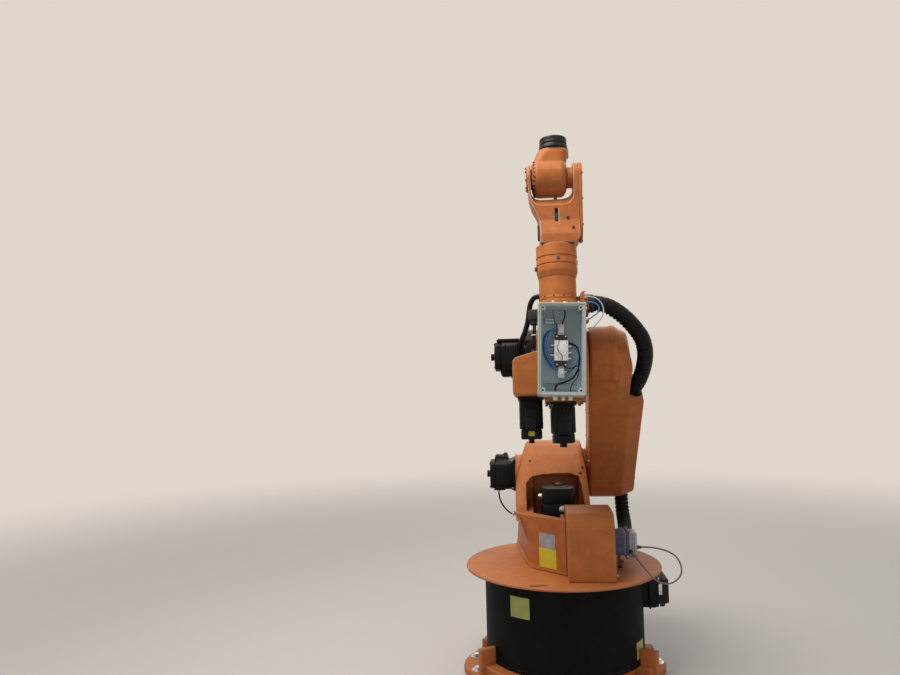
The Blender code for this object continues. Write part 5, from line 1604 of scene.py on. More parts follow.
@dataclass
class ServoMotor:
    """Square servo motor: flange, case, end cap, brake stub and connector box.

    Args:
        name: its node's name.
        side: width of its square flange.
        length: its length.
        space: z away from its seat, x towards its connector box.
        body: the body that it rides on.
        case: how its sides are shaped.
        stub: whether the brake stub stands on its end.
        plate: whether a flat cooling plate lies on the side away from the connectors.
        plug: the finish of its round connector, or None for a plain lid.
    """

    name: str
    side: float
    length: float
    space: Space
    body: str
    case: Case = Case.PLAIN
    stub: bool = True
    plate: bool = False
    plug: Finish | None = None
    flange_t: float = 0.009
    rim: float = 0.004

    def build(self) -> None:
        """Make the case, its screws and its connectors."""
        half = self.side / 2
        split = 0.76 * self.length
        corner = 0.24 * self.side
        width = self.side - 2 * self.rim
        shells = [prism(soft_box(self.side, self.side, 0.008), 0.0, self.flange_t, 0.001)]
        if self.case is Case.RIBBED:
            shells.append(prism(soft_box(width - 0.004, width - 0.004, corner, 8),
                                self.flange_t - 0.001, split, 0.0008))
            ribs = ribbed_box(width, corner, 0.0105, 0.0028)
            shells.append(prism(ribs, self.flange_t + 0.008, split - 0.003, 0.0015))
        else:
            shells.append(prism(soft_box(width, width, corner, 6), self.flange_t - 0.001, split,
                                0.0015))
            for z in (0.30, 0.62):
                shells.append(prism(soft_box(width + 0.0012, width + 0.0012, corner, 6),
                                    z * self.length, z * self.length + 0.005, 0.0006))
        cap = self.side - 4 * self.rim
        shells.append(prism(soft_box(cap - 0.004, cap - 0.004, corner * 0.8, 6), split - 0.001,
                            split + 0.004, 0.0004))
        shells.append(prism(soft_box(cap, cap, corner * 0.8, 6), split + 0.003, self.length,
                            self.rim))
        shells += self.connector_box(half)
        if self.plate:
            shells += self.cooling_plate(half)
        shells.append(lathe([(0.0, self.length + 0.0012), (0.30 * self.side, self.length + 0.0012),
                             (0.31 * self.side, self.length - 0.001), (0.0, self.length - 0.001)],
                            0.0005, 40, 2))
        if self.stub:
            shells.append(self.brake_stub())
        piece(self.name + "_case", [s.within(self.space) for s in shells], BLACK, self.body,
              "black_motor", (self.name,))
        self.screws(half)
        if self.plug:
            self.connectors(half)

    def connector_box(self, half: float) -> list[Shell]:
        """Return the stepped connector box on the x side.

        Args:
            half: half the motor's width.

        Returns:
            The box's shells.
        """
        wide = 0.22 * self.side
        low, high = 0.28 * self.length, 0.80 * self.length
        top = half + 0.014
        step = low + 0.42 * (high - low)
        return [block((half - 0.010, -wide, low), (top - 0.004, wide, high), 0.0012, 0.004),
                block((half - 0.008, -wide + 0.002, step), (top, wide - 0.002, high - 0.004),
                      0.0012, 0.004),
                block((half - 0.008, -wide - 0.002, low - 0.002),
                      (half + 0.002, wide + 0.002, high + 0.002), 0.0008, 0.003)]

    def cooling_plate(self, half: float) -> list[Shell]:
        """Return the flat plate and its bars on the side away from the connectors.

        Args:
            half: half the motor's width.

        Returns:
            The plate's shells.
        """
        wide = 0.40 * self.side
        low, high = 0.16 * self.length, 0.92 * self.length
        bars = [block((-half - 0.0035, y - 0.0022, low + 0.004),
                      (-half + 0.002, y + 0.0022, high - 0.004), 0.0006, 0.001)
                for y in np.linspace(-wide + 0.006, wide - 0.006, 7)]
        return [block((-half - 0.0005, -wide, low), (-half + 0.007, wide, high), 0.0008, 0.002),
                *bars]

    def brake_stub(self) -> Shell:
        """Return the round stub on the end, with its groove and dished face.

        Returns:
            The stub's shell.
        """
        r = 0.11 * self.side
        z = self.length
        return lathe([(0.0, z + 0.011), (0.5 * r, z + 0.011), (0.62 * r, z + 0.014), (r, z + 0.014),
                      (r, z + 0.008), (0.9 * r, z + 0.007), (0.9 * r, z + 0.005), (r, z + 0.004),
                      (1.15 * r, z + 0.0005), (0.0, z + 0.0005)], 0.0006, 32, 2)

    def screws(self, half: float) -> None:
        """Make the flange's and the end cap's screws.

        Args:
            half: half the motor's width.
        """
        at = half - 0.075 * self.side
        size = 0.060 * self.side
        corners = [(sx * at, sy * at, self.flange_t) for sx, sy in CORNERS]
        shells = standing(cap_screw(size), self.space, corners)
        inner = half - 2 * self.rim - 0.075 * self.side
        ends = [(sx * inner, sy * inner, self.length - 0.0004) for sx, sy in CORNERS]
        shells += standing(cap_screw(0.040 * self.side, 0.45), self.space, ends)
        wide = 0.22 * self.side - 0.004
        low, high = 0.28 * self.length, 0.80 * self.length
        lid = self.space.facing((half + 0.014, 0.0, 0.0), RIGHT, AHEAD)
        spots = [(y, -z, -0.0002) for y in (-wide + 0.003, wide - 0.003)
                 for z in (low + 0.50 * (high - low), high - 0.009)]
        shells += standing(cap_screw(0.0026, 0.5), lid, spots)
        piece(self.name + "_screws", shells, DARK_STEEL, self.body, "black_motor")

    def connectors(self, half: float) -> None:
        """Make the round connector that stands on the lower step of the box.

        Args:
            half: half the motor's width.
        """
        r = min(0.15 * self.side, 0.19 * 0.52 * self.length)
        z = 0.28 * self.length + 0.21 * 0.52 * self.length
        spot = self.space.facing((half + 0.0095, 0.0, z), RIGHT, AHEAD)
        piece(self.name + "_connector", round_plug(r, 0.0125).within(spot), self.plug, self.body,
              "silver_plug")


# The arm, from the floor up


@dataclass
class FootAndDrum:
    """Foot casting, black drum and the connector box on it."""

    patch_thick: float = 0.0008
    patches: tuple = ((-0.190, -0.126, 0.256, 0.326), (0.238, 0.268, 0.092, 0.150))
    first_pad_deg: float = -54.0
    pad_bolt_r: float = 0.330
    lobe_bolt_r: float = 0.334
    plate_top: float = 0.028

    def build(self) -> None:
        """Make the foot, the drum's skin, its patches and the connector box."""
        casting("base_foot_cast", "base_foot", ORANGE, "base", "orange_casting", 0.0036, 5, 0.5)
        casting("pillar_cast", "base_pillar", ORANGE, "base", "orange_casting", 0.006, 3, 0.4)
        self.drum()
        self.bolts()
        self.inlet()

    def drum(self) -> None:
        """Make the drum's rolled wall with its seam, rims and blank patches."""
        low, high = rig.box("base_drum")
        r, z0, z1 = high.x, low.z, high.z
        inner = r - 0.008
        profile = softened([(0.1653, z1), (r - 0.003, z1), (r, z1 - 0.003), (r, z1 - 0.012),
                            (r - 0.0015, z1 - 0.0135), (r - 0.0015, z0 + 0.0135),
                            (r, z0 + 0.012), (r, z0), (inner, z0), (inner, z1 - 0.008),
                            (0.1653, z1 - 0.008), (0.1653, z1)], 0.002)
        piece("base_drum_skin", turned(profile, 160), DRUM_BLACK, "base", "black_drum",
              ("base_drum",))
        rims = [WORLD.facing((0.0, 0.0, z), UP) for z in (z1 - 0.0075, z0 + 0.006)]
        heads = []
        for rim in rims:
            for k in range(12):
                a = math.radians(15.0 + 30.0 * k)
                spot = (r * math.cos(a), r * math.sin(a), 0.0)
                out = (math.cos(a), math.sin(a), 0.0)
                heads.append(cap_screw(0.0042, 0.5).within(rim.facing(spot, out, UP)))
        piece("drum_screws", heads, DARK_STEEL, "base", "black_drum")
        seam = block((-0.010, -0.0006, z0 + 0.016), (0.010, 0.0012, z1 - 0.016), 0.0004, 0.0006)
        joint = WORLD.facing((0.0, r - 0.0012, 0.0), UP, RIGHT)
        piece("drum_seam", seam.within(joint), DRUM_BLACK, "base", "black_drum")
        for k, (x0, x1, bottom, top) in enumerate(self.patches):
            patch = self.curved_patch(r, x0, x1, bottom, top)
            piece(f"drum_patch_{k + 1}", patch, PALE_PATCH, "base", "grey_plug")

    def curved_patch(self, r: float, x0: float, x1: float, low: float, high: float) -> Shell:
        """Return a thin blank sheet on the drum: x = r sin a, y = -r cos a.

        Args:
            r: the drum's radius.
            x0: its lowest x.
            x1: its highest x.
            low: its lowest z.
            high: its highest z.

        Returns:
            The sheet's shell.
        """
        a = np.linspace(math.asin(x0 / r), math.asin(x1 / r), 13)
        rim = [(low, 0.0), (low, self.patch_thick), (high, self.patch_thick), (high, 0.0)]
        rows = [np.stack([(r - 0.0017 + t) * np.sin(a), -(r - 0.0017 + t) * np.cos(a),
                          np.full(13, z)], axis=1) for z, t in rim]
        return skin(np.stack(rows), wrap_rows=True)

    def bolts(self) -> None:
        """Make the bolts on the foot's pads and lobes."""
        shells = []
        for k in range(3):
            pad = self.first_pad_deg + 120.0 * k
            spots = [(self.pad_bolt_r, pad - 11.0), (self.pad_bolt_r, pad + 11.0),
                     (self.lobe_bolt_r, pad + 54.0)]
            for r, degrees in spots:
                a = math.radians(degrees)
                spot = WORLD.facing((r * math.cos(a), r * math.sin(a), self.plate_top - 0.0004),
                                    UP, (math.cos(a + 0.4), math.sin(a + 0.4), 0))
                shells.append(hex_bolt(0.014).within(spot))
                shells.append(lathe([(0.0, 0.0022), (0.021, 0.0022), (0.021, 0.0), (0.0, 0.0)],
                                    0.0005, 28).within(spot))
        piece("foot_bolts", shells, ZINC, "base", "orange_casting")

    def inlet(self) -> None:
        """Make the connector box on the drum and the hood that plugs into it."""
        low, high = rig.box("inlet_box")
        y, z = (low.y + high.y) / 2, (low.z + high.z) / 2
        wide, tall = high.y - low.y, high.z - low.z
        side = WORLD.facing((high.x, y, z), RIGHT, AHEAD)
        shells = [prism(soft_box(wide, tall, 0.006), -0.034, -0.010, 0.002),
                  prism(soft_box(wide - 0.004, tall - 0.004, 0.006), -0.0105, -0.0002, 0.0015),
                  prism(soft_box(wide + 0.010, tall + 0.006, 0.004), -0.0335, -0.0290, 0.0008),
                  prism(soft_box(wide - 0.012, tall, 0.003), -0.062, -0.033, 0.0008)]
        piece("inlet_box_shell", placed(shells, side), BLACK, "base", "black_motor",
              ("inlet_box",))
        spots = [(sy * (wide / 2 - 0.009), sz * (tall / 2 - 0.009), -0.0006)
                 for sy in (-1, 1) for sz in (-1, 1)]
        piece("inlet_screws", standing(cap_screw(0.005), side, spots), ZINC, "base", "black_motor")
        self.hood(side)

    def hood(self, side: Space) -> None:
        """Make the hood: its ribbed shell, locking lever and cable gland below.

        Args:
            side: the space on the box's right face.
        """
        low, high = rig.box("inlet_hood")
        wide, tall = high.y - low.y, high.z - low.z
        deep = high.x - low.x
        shells = [prism(soft_box(wide, tall, 0.008), 0.0005, 0.010, 0.0015),
                  prism(soft_box(wide - 0.008, tall - 0.006, 0.010), 0.009, deep, 0.006)]
        for y in np.linspace(-0.42, 0.42, 7) * (wide - 0.016):
            shells.append(block((y - 0.003, -tall / 2 + 0.001, 0.012),
                                (y + 0.003, tall / 2 - 0.001, deep - 0.008), 0.0008, 0.0015))
        piece("inlet_hood_shell", placed(shells, side), HOOD_GREEN, "base",
              "grey_plug", ("inlet_hood",))
        lever = [block((sy * (wide / 2 + 0.0010) - 0.0015, -0.010, 0.002),
                       (sy * (wide / 2 + 0.0010) + 0.0015, 0.028, 0.014), 0.0006, 0.001)
                 for sy in (-1, 1)]
        lever.append(block((-wide / 2 - 0.002, 0.025, 0.003), (wide / 2 + 0.002, 0.029, 0.013),
                           0.0008, 0.001))
        piece("inlet_lever", placed(lever, side), ZINC, "base", "silver_plug")
        under = side.facing((-0.022, -tall / 2 + 0.0008, 0.020), BACK, RIGHT)
        piece("inlet_gland", [gland(0.0125, 0.018).within(under),
                              turned([(0.0, 0.0174), (0.0072, 0.0174), (0.0072, 0.010),
                                      (0.0, 0.010)], 20).within(under)], BLACK_PLASTIC, "base",
              "black_plastic")


@dataclass
class Column:
    """Turntable and column with what is fixed to them."""

    labels: tuple = ((-0.084, -0.029, 0.465, 0.517), (-0.085, -0.027, 0.398, 0.4645))
    disc_top: float = 0.385

    def build(self) -> None:
        """Make the castings of the column, its motors, gear, labels and connectors."""
        casting("turntable_cast", "turntable_disc", ORANGE, "column", "orange_casting", 0.0032,
                2, 0.45)
        casting("column_cast", "column_casting", ORANGE, "column", "orange_casting", 0.0028, 8, 0.6)
        casting("cover_box_cast", "rear_cover_box", ORANGE, "column", "orange_casting", 0.0028, 4,
                0.6)
        casting("a2_gear_cast", "a2_gear", ORANGE, "column", "orange_casting", 0.0024, 3, 0.6)
        upright = WORLD.facing((-0.008, 0.018, 0.4103), UP, AHEAD)
        ServoMotor("a1_motor", 0.136, 0.250, upright, "column", stub=False).build()
        across = WORLD.facing((-0.1668, 0.300, 0.672), LEFT, UP)
        ServoMotor("a2_motor", 0.129, 0.1045, across, "column", plug=BLACK_PLASTIC).build()
        self.motor_underside(across)
        self.stickers()
        self.fasteners()
        self.first_motor_top(upright)
        self.plug()

    def stickers(self) -> None:
        """Make the plain blank patches where plates and labels are."""
        finishes = (SILVER_PATCH, YELLOW_PATCH)
        for k, ((x0, x1, z0, z1), finish) in enumerate(zip(self.labels, finishes)):
            piece(f"column_patch_{k + 1}", self.sheet("column_casting", x0, x1, z0, z1), finish,
                  "column", "grey_plug")
        spot = WORLD.facing((0.203, -0.036, 0.4405), BACK, RIGHT)
        flap = [prism(soft_box(0.054, 0.024, 0.001), 0.0, 0.0009, 0.0002).within(spot),
                block((-0.004, -0.010, -0.003), (0.004, 0.010, 0.0001)).within(spot)]
        piece("plug_patch", flap, YELLOW_PATCH, "column", "grey_plug")
        post = block((0.197, -0.0355, self.disc_top - 0.0004), (0.209, -0.029, 0.446), 0.0006)
        bracket = block((0.179, -0.0358, 0.428), (0.227, -0.0345, 0.453), 0.0003, 0.001)
        piece("plug_bracket", [post, bracket], ORANGE, "column", "orange_casting")

    @staticmethod
    def sheet(node: str, x0: float, x1: float, z0: float, z1: float) -> Shell:
        """Return a thin blank sheet that lies on a node's rear face.

        Each of its corners is where a ray along +y from behind meets the node, and the sheet
        between them is a plane lifted by its thickness.

        Args:
            node: the node that carries it.
            x0: its lowest x.
            x1: its highest x.
            z0: its lowest z.
            z1: its highest z.

        Returns:
            The sheet's shell.
        """
        spots = {}
        for i, x in enumerate((x0, x1)):
            for j, z in enumerate((z0, z1)):
                spots[i, j] = seat(node, (x, -0.45, z), AHEAD)
        out = unit(np.mean([s.axes[2] for s in spots.values()], axis=0))
        base = np.array([spots[k].origin for k in ((0, 0), (1, 0), (1, 1), (0, 1))])
        middle = base.mean(axis=0)
        across, rise = unit(base[1] - base[0]), unit(base[3] - base[0])
        half = np.array([np.linalg.norm(base[1] - base[0]), np.linalg.norm(base[3] - base[0])]) / 2
        corners = [middle + sx * half[0] * across + sy * half[1] * rise
                   for sx, sy in ((-1, -1), (1, -1), (1, 1), (-1, 1))]
        rings = [np.array(corners) - out * 0.0006, np.array(corners) + out * 0.0007]
        return skin(np.stack(rings), wrap_columns=True, caps=True)

    def fasteners(self) -> None:
        """Make the bolts of the column, the gear, the disc and the cover box."""
        shells = []
        for x, z in ((0.083, 0.700), (0.092, 0.716), (-0.108, 0.742)):
            spot = seat("column_casting", (x, -0.45, z), AHEAD)
            shells.append(hex_bolt(0.0052).within(spot))
        for x, z in ((0.023, 0.404), (0.150, 0.404), (0.023, 0.560), (0.150, 0.560)):
            side = -1.0 if x < 0.08 else 1.0
            spot = seat("rear_cover_box", (0.0865 + side * 0.3, -0.130, z), (-side, 0, 0), AHEAD)
            shells.append(cap_screw(0.006, 0.5).within(spot))
        disc = WORLD.facing((0.0, 0.0, self.disc_top - 0.0004), UP)
        shells += ring_of(cap_screw(0.011, 0.7), disc, 0.215, 3, -40.0, 60.0)
        piece("column_bolts", shells, DARK_STEEL, "column", "orange_casting")
        silver = [cap_screw(0.006, 0.9).within(disc.at(0.176, -0.196, 0.0)),
                  hex_bolt(0.008).within(disc.at(0.262, 0.150, 0.0))]
        piece("disc_screws", silver, ZINC, "column", "orange_casting")
        gear = WORLD.facing((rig.box("a2_gear")[0].x + 0.0058, A2[1], A2[2]), RIGHT, AHEAD)
        piece("a2_gear_bolts", ring_of(cap_screw(0.005, 0.8), gear, 0.0925, 20), DARK_STEEL,
              "column", "orange_casting")
        boss = WORLD.facing((-0.1662, A2[1], A2[2]), LEFT, UP)
        ring = lathe([(0.0, 0.001), (0.0755, 0.001), (0.0755, -0.004), (0.0, -0.004)], 0.0008, 56)
        piece("a2_boss_ring", ring.within(boss), ORANGE, "column", "orange_casting")
        neck = WORLD.facing((-0.1745, 0.270, 0.512), LEFT, UP)
        piece("column_gland", gland(0.0095, 0.010).within(neck), ZINC, "column", "silver_plug")

    def motor_underside(self, across: Space) -> None:
        """Make the small connectors under the second motor, where its cable starts.

        Args:
            across: the second motor's space.
        """
        shells = []
        for y, z, r, tall in ((-0.030, 0.0712, 0.0075, 0.0105), (0.004, 0.074, 0.009, 0.012)):
            spot = across.facing((-0.0602, y, z), LEFT, AHEAD)
            shells.append(round_plug(r, tall).within(spot))
        piece("second_motor_plugs", shells, ZINC, "column", "silver_plug")
        base = block((-0.0632, -0.044, 0.044), (-0.0590, 0.022, 0.090), 0.0008, 0.003)
        piece("second_motor_base", base.within(across), BLACK_PLASTIC, "column", "black_plastic")

    def first_motor_top(self, upright: Space) -> None:
        """Make the red cap and the round connectors that show above the first motor.

        Args:
            upright: the first motor's space.
        """
        top = upright.at(0.0, 0.0, 0.250)
        middle = top.at(0.004, -0.002, 0.0)
        cap = lathe([(0.0, 0.0115), (0.0095, 0.0115), (0.0125, 0.008), (0.0135, 0.0), (0.0, 0.0)],
                    0.0015, 36)
        ring = ring_of(block((-0.0010, -0.0016, 0.001), (0.0010, 0.0016, 0.0080), 0.0003, 0.0006),
                       middle, 0.0132, 14)
        piece("first_motor_cap", [cap.within(middle), *ring], RED_CAP, "column", "black_plastic")
        rear = upright.facing((-0.0596, -0.013, 0.175), LEFT, AHEAD)
        side = upright.facing((-0.010, 0.0598, 0.216), AHEAD, RIGHT)
        shells = [round_plug(0.0130, 0.016).within(rear), round_plug(0.0085, 0.014).within(side)]
        piece("first_motor_plugs", shells, ALUMINIUM, "column", "silver_plug")

    def plug(self) -> None:
        """Make the ribbed connector block, the plug, its lever and the cord's grommets."""
        low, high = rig.box("connector_block")
        middle = (low.y + high.y) / 2
        side = WORLD.facing((low.x, middle, (low.z + high.z) / 2), RIGHT, AHEAD)
        wide, tall, deep = high.y - low.y, high.z - low.z, high.x - low.x
        shells = [prism(soft_box(wide, tall, 0.005), 0.0, 0.008, 0.001),
                  prism(soft_box(wide - 0.010, tall - 0.008, 0.006), 0.007, deep - 0.0085, 0.001),
                  prism(soft_box(wide - 0.002, tall - 0.002, 0.006), deep - 0.010, deep, 0.001)]
        for x in np.arange(0.011, deep - 0.012, 0.0052):
            shells.append(prism(soft_box(wide - 0.004, tall - 0.003, 0.006), x, x + 0.0026, 0.0006))
        piece("connector_block_shell", placed(shells, side), BLUE_GREY, "column",
              "grey_plug", ("connector_block",))
        self.plug_shell()
        edge = WORLD.facing((0.226, high.y, 0.4805), AHEAD, RIGHT)
        collar = lathe([(0.0268, 0.016), (0.0315, 0.016), (0.0335, 0.011), (0.0335, 0.0),
                        (0.0, 0.0)], 0.001, 40)
        piece("hose_socket", collar.within(edge), BLACK_PLASTIC, "column", "black_plastic")

    def plug_shell(self) -> None:
        """Make the die-cast plug with its ribs, lever and grommets."""
        low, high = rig.box("connector_plug")
        side = WORLD.facing((low.x, (low.y + high.y) / 2, (low.z + high.z) / 2), RIGHT, AHEAD)
        wide, tall, deep = high.y - low.y, high.z - low.z, high.x - low.x
        shells = [prism(soft_box(wide, tall, 0.006), 0.0, 0.010, 0.0012),
                  prism(soft_box(wide - 0.006, tall - 0.006, 0.008), 0.009, deep, 0.005)]
        for z in (-0.30, -0.10, 0.10, 0.30):
            shells.append(block((-wide / 2 + 0.001, z * tall - 0.0022, 0.011),
                                (wide / 2 - 0.001, z * tall + 0.0022, deep - 0.006), 0.0006,
                                0.0014))
        for x in np.arange(0.0130, deep - 0.006, 0.0058):
            shells.append(block((-wide / 2 - 0.0004, -tall / 2 + 0.004, x - 0.0013),
                                (wide / 2 + 0.0004, tall / 2 - 0.004, x + 0.0013), 0.0006, 0.001))
        piece("connector_plug_shell", placed(shells, side), PLUG_GREY, "column",
              "silver_plug", ("connector_plug",))
        lever = [block((-wide / 2 - 0.0026, -tall / 2 + 0.012, 0.001),
                       (-wide / 2 - 0.0002, tall / 2 + 0.001, 0.012), 0.0006, 0.001),
                 block((wide / 2 + 0.0002, -tall / 2 + 0.012, 0.001),
                       (wide / 2 + 0.0026, tall / 2 + 0.001, 0.012), 0.0006, 0.001),
                 block((-wide / 2 - 0.0026, tall / 2 - 0.0005, 0.002),
                       (wide / 2 + 0.0026, tall / 2 + 0.0022, 0.011), 0.0006, 0.001)]
        piece("plug_lever", placed(lever, side), DARK_STEEL, "column", "silver_plug")
        outlet = WORLD.facing((high.x - 0.0006, -0.125, 0.468), RIGHT, AHEAD)
        back = WORLD.facing((0.2315, low.y + 0.0006, 0.456), BACK, RIGHT)
        boot = lathe([(0.0029, 0.016), (0.0042, 0.016), (0.0062, 0.006), (0.0068, 0.0), (0.0, 0.0)],
                     0.001, 20)
        piece("plug_boots", [boot.within(outlet), boot.within(back)], BLACK_PLASTIC, "column",
              "black_plastic")


@dataclass
class LinkArm:
    """Link arm casting with its bolt rings and the cover of its lower hub."""

    hub_bolts: int = 16

    def build(self) -> None:
        """Make the link arm, the bolts of its hubs and the lower hub's cover."""
        casting("link_cast", "link_casting", ORANGE, "link_arm", "orange_casting", 0.0030, 8, 0.6)
        heads = []
        top = LINK.facing((0.0, 0.0, 0.0), RIGHT, AHEAD)
        reach = float(np.linalg.norm(A3 - A2))
        for height, radius in ((reach, 0.070), (0.0, 0.078)):
            for k in range(self.hub_bolts):
                a = 2.0 * math.pi * (k + 0.5) / self.hub_bolts
                start = LINK.put((0.40, radius * math.cos(a), height + radius * math.sin(a)))
                try:
                    spot = seat("link_casting", tuple(start), tuple(-top.axes[2]), UP)
                except ValueError:
                    continue
                if spot.axes[2] @ top.axes[2] > (0.94 if height == 0.0 else 0.998):
                    heads.append(cap_screw(0.0058, 0.16).within(spot))
        piece("link_bolts", heads, DARK_STEEL, "link_arm", "orange_casting")
        cover = lathe([(0.0, 0.0014), (0.046, 0.0014), (0.048, 0.0), (0.048, -0.004),
                       (0.0, -0.004)], 0.0008, 56)
        spot = seat("link_casting", tuple(LINK.put((0.40, 0.0, 0.0))), tuple(-top.axes[2]), UP)
        piece("link_cover", cover.within(spot), ORANGE, "link_arm", "orange_casting")
        small = []
        for s in (0.150, 0.300, 0.430):
            for y in (-0.070, 0.070):
                start = LINK.put((0.0, y, s))
                spot = seat("link_casting", tuple(start), tuple(top.axes[2]), UP)
                small.append(cap_screw(0.005, 0.5).within(spot))
        piece("link_dots", small, ZINC, "link_arm", "orange_casting")


@dataclass
class ValveBox:
    """Open enamelled box on the arm with the air valve and its fittings."""

    sheet: float = 0.0009
    post_r: float = 0.009

    def build(self) -> None:
        """Make the box, its inner sheet of painted shade, posts, ducts, valve and fittings."""
        self.shell()
        self.posts()
        self.ducts()
        self.valve()
        self.fittings()

    def shell(self) -> None:
        """Make the outer box with its rim, and the sheet inside that carries painted shade and a painted bluish
        reflection.
        """
        w, h = BOX_W / 2, BOX_H / 2
        outer = soft_box(2 * w, 2 * h, 0.006, 6)
        opening = soft_box(2 * (w - BOX_WALL), 2 * (h - BOX_WALL), 0.006, 6)
        lip = BOX_D - 0.0035
        mid = (outer + opening) / 2
        rings = [(inset(outer, 0.002), 0.0), (outer, 0.002), (outer, lip - 0.012),
                 (inset(outer, 0.0007), lip - 0.0115), (inset(outer, 0.0007), lip - 0.0095),
                 (outer, lip - 0.009), (outer, BOX_D - 0.0012), (inset(outer, 0.0004), BOX_D - 0.0004),
                 (inset(outer, 0.0012), BOX_D), (inset(mid, -0.0012), BOX_D),
                 (inset(mid, -0.0004), BOX_D - 0.0006), (inset(mid, 0.0), BOX_D - 0.0022),
                 (inset(mid, 0.0012), BOX_D - 0.0024), (inset(opening, -0.0012), BOX_D - 0.0022),
                 (inset(opening, -0.0004), BOX_D - 0.0028), (opening, lip - 0.002),
                 (opening, BOX_BACK)]
        grid = np.stack([np.column_stack([o, np.full(len(o), z)]) for o, z in rings])
        piece("valve_box_shell", skin(grid, wrap_columns=True, caps=True).within(BOX), ENAMEL,
              "upper_arm", "grey_box", ("valve_box",))
        # A thin sheet just inside the walls and over the floor, in the blue-grey copy of the enamel: painted shade and
        # a painted bluish reflection.
        t = self.sheet
        rings = [(inset(opening, 0.0001), BOX_BACK + 0.0001), (inset(opening, 0.0001), lip - 0.006),
                 (inset(opening, t), lip - 0.006), (inset(opening, t), BOX_BACK + 0.004),
                 (inset(opening, t + 0.001), BOX_BACK + 0.0022),
                 (inset(opening, t + 0.003), BOX_BACK + t + 0.0004)]
        grid = np.stack([np.column_stack([o, np.full(len(o), z)]) for o, z in rings])
        piece("box_painted_shade_sheet", skin(grid, wrap_columns=True, caps=True).within(BOX), PAINTED_SHADE_ENAMEL,
              "upper_arm", "grey_box")

    def posts(self) -> None:
        """Make the four corner posts, their inserts, and a near-black disc of painted shade low in each bore."""
        w, h = BOX_W / 2 - BOX_WALL - 0.005, BOX_H / 2 - BOX_WALL - 0.005
        top = BOX_D - 0.006
        post = lathe([(0.0035, top - 0.010), (0.0035, top), (self.post_r, top),
                      (self.post_r, BOX_BACK), (0.0, BOX_BACK)], 0.0008, 28)
        spots = [(sx * w, sy * h, 0.0) for sx, sy in CORNERS]
        piece("box_posts", standing(post, BOX, spots), ENAMEL, "upper_arm", "grey_box")
        bores = [(x, y, top - 0.0098) for x, y, _ in spots]
        # Painted shade: the near-black disc low in each post's bore, no screw.
        screw = turned([(0.0, 0.0), (0.0034, 0.0), (0.0034, 0.0006), (0.0, 0.0006)], 20)
        piece("box_post_bores", standing(screw, BOX, bores), PAINTED_BORE_SHADE, "upper_arm", "black_plastic")
        nuts = [(x, y, BOX_D - 0.0057) for x, y, _ in spots]
        ring = lathe([(0.0036, 0.0008), (0.0056, 0.0008), (0.0056, 0.0), (0.0036, 0.0)], 0.0003, 24)
        piece("box_inserts", standing(ring, BOX, nuts), ZINC, "upper_arm", "silver_plug")

    def ducts(self) -> None:
        """Make the slotted duct below and the terminal strip above."""
        floor = BOX_BACK + 0.0012
        shells = []
        for y in (-0.1215, -0.1025):
            shells.append(block((-0.050, y - 0.0008, floor), (0.050, y + 0.0008, floor + 0.007),
                                0.0003, 0.0004))
            for x in np.arange(-0.0490, 0.0495, 0.0049):
                shells.append(block((x - 0.0014, y - 0.0007, floor + 0.006),
                                    (x + 0.0014, y + 0.0007, floor + 0.0116), 0.0002, 0.0003))
        shells.append(block((-0.050, -0.122, floor - 0.001), (0.050, -0.102, floor + 0.001)))
        # The duct takes the blue-grey copy of the enamel: painted shade and a painted bluish reflection.
        piece("box_duct", placed(shells, BOX), PAINTED_SHADE_ENAMEL, "upper_arm", "grey_box")
        rail = [block((-0.051, 0.0915, floor), (-0.021, 0.1045, floor + 0.0055), 0.0005, 0.001)]
        rail += [block((x - 0.0021, 0.0885, floor + 0.0045), (x + 0.0021, 0.1075, floor + 0.0115),
                       0.0005, 0.0008) for x in np.arange(-0.0480, -0.022, 0.0048)]
        # The terminal strip takes the blue-grey copy of the enamel: painted shade and a painted bluish reflection.
        piece("box_terminals", placed(rail, BOX), PAINTED_SHADE_ENAMEL, "upper_arm", "grey_box")
        heads = [(x, y, floor + 0.0113) for x in np.arange(-0.0480, -0.022, 0.0048)
                 for y in (0.0925, 0.1035)]
        piece("terminal_screws", standing(cap_screw(0.0016, 0.35), BOX, heads), ZINC,
              "upper_arm", "silver_plug")

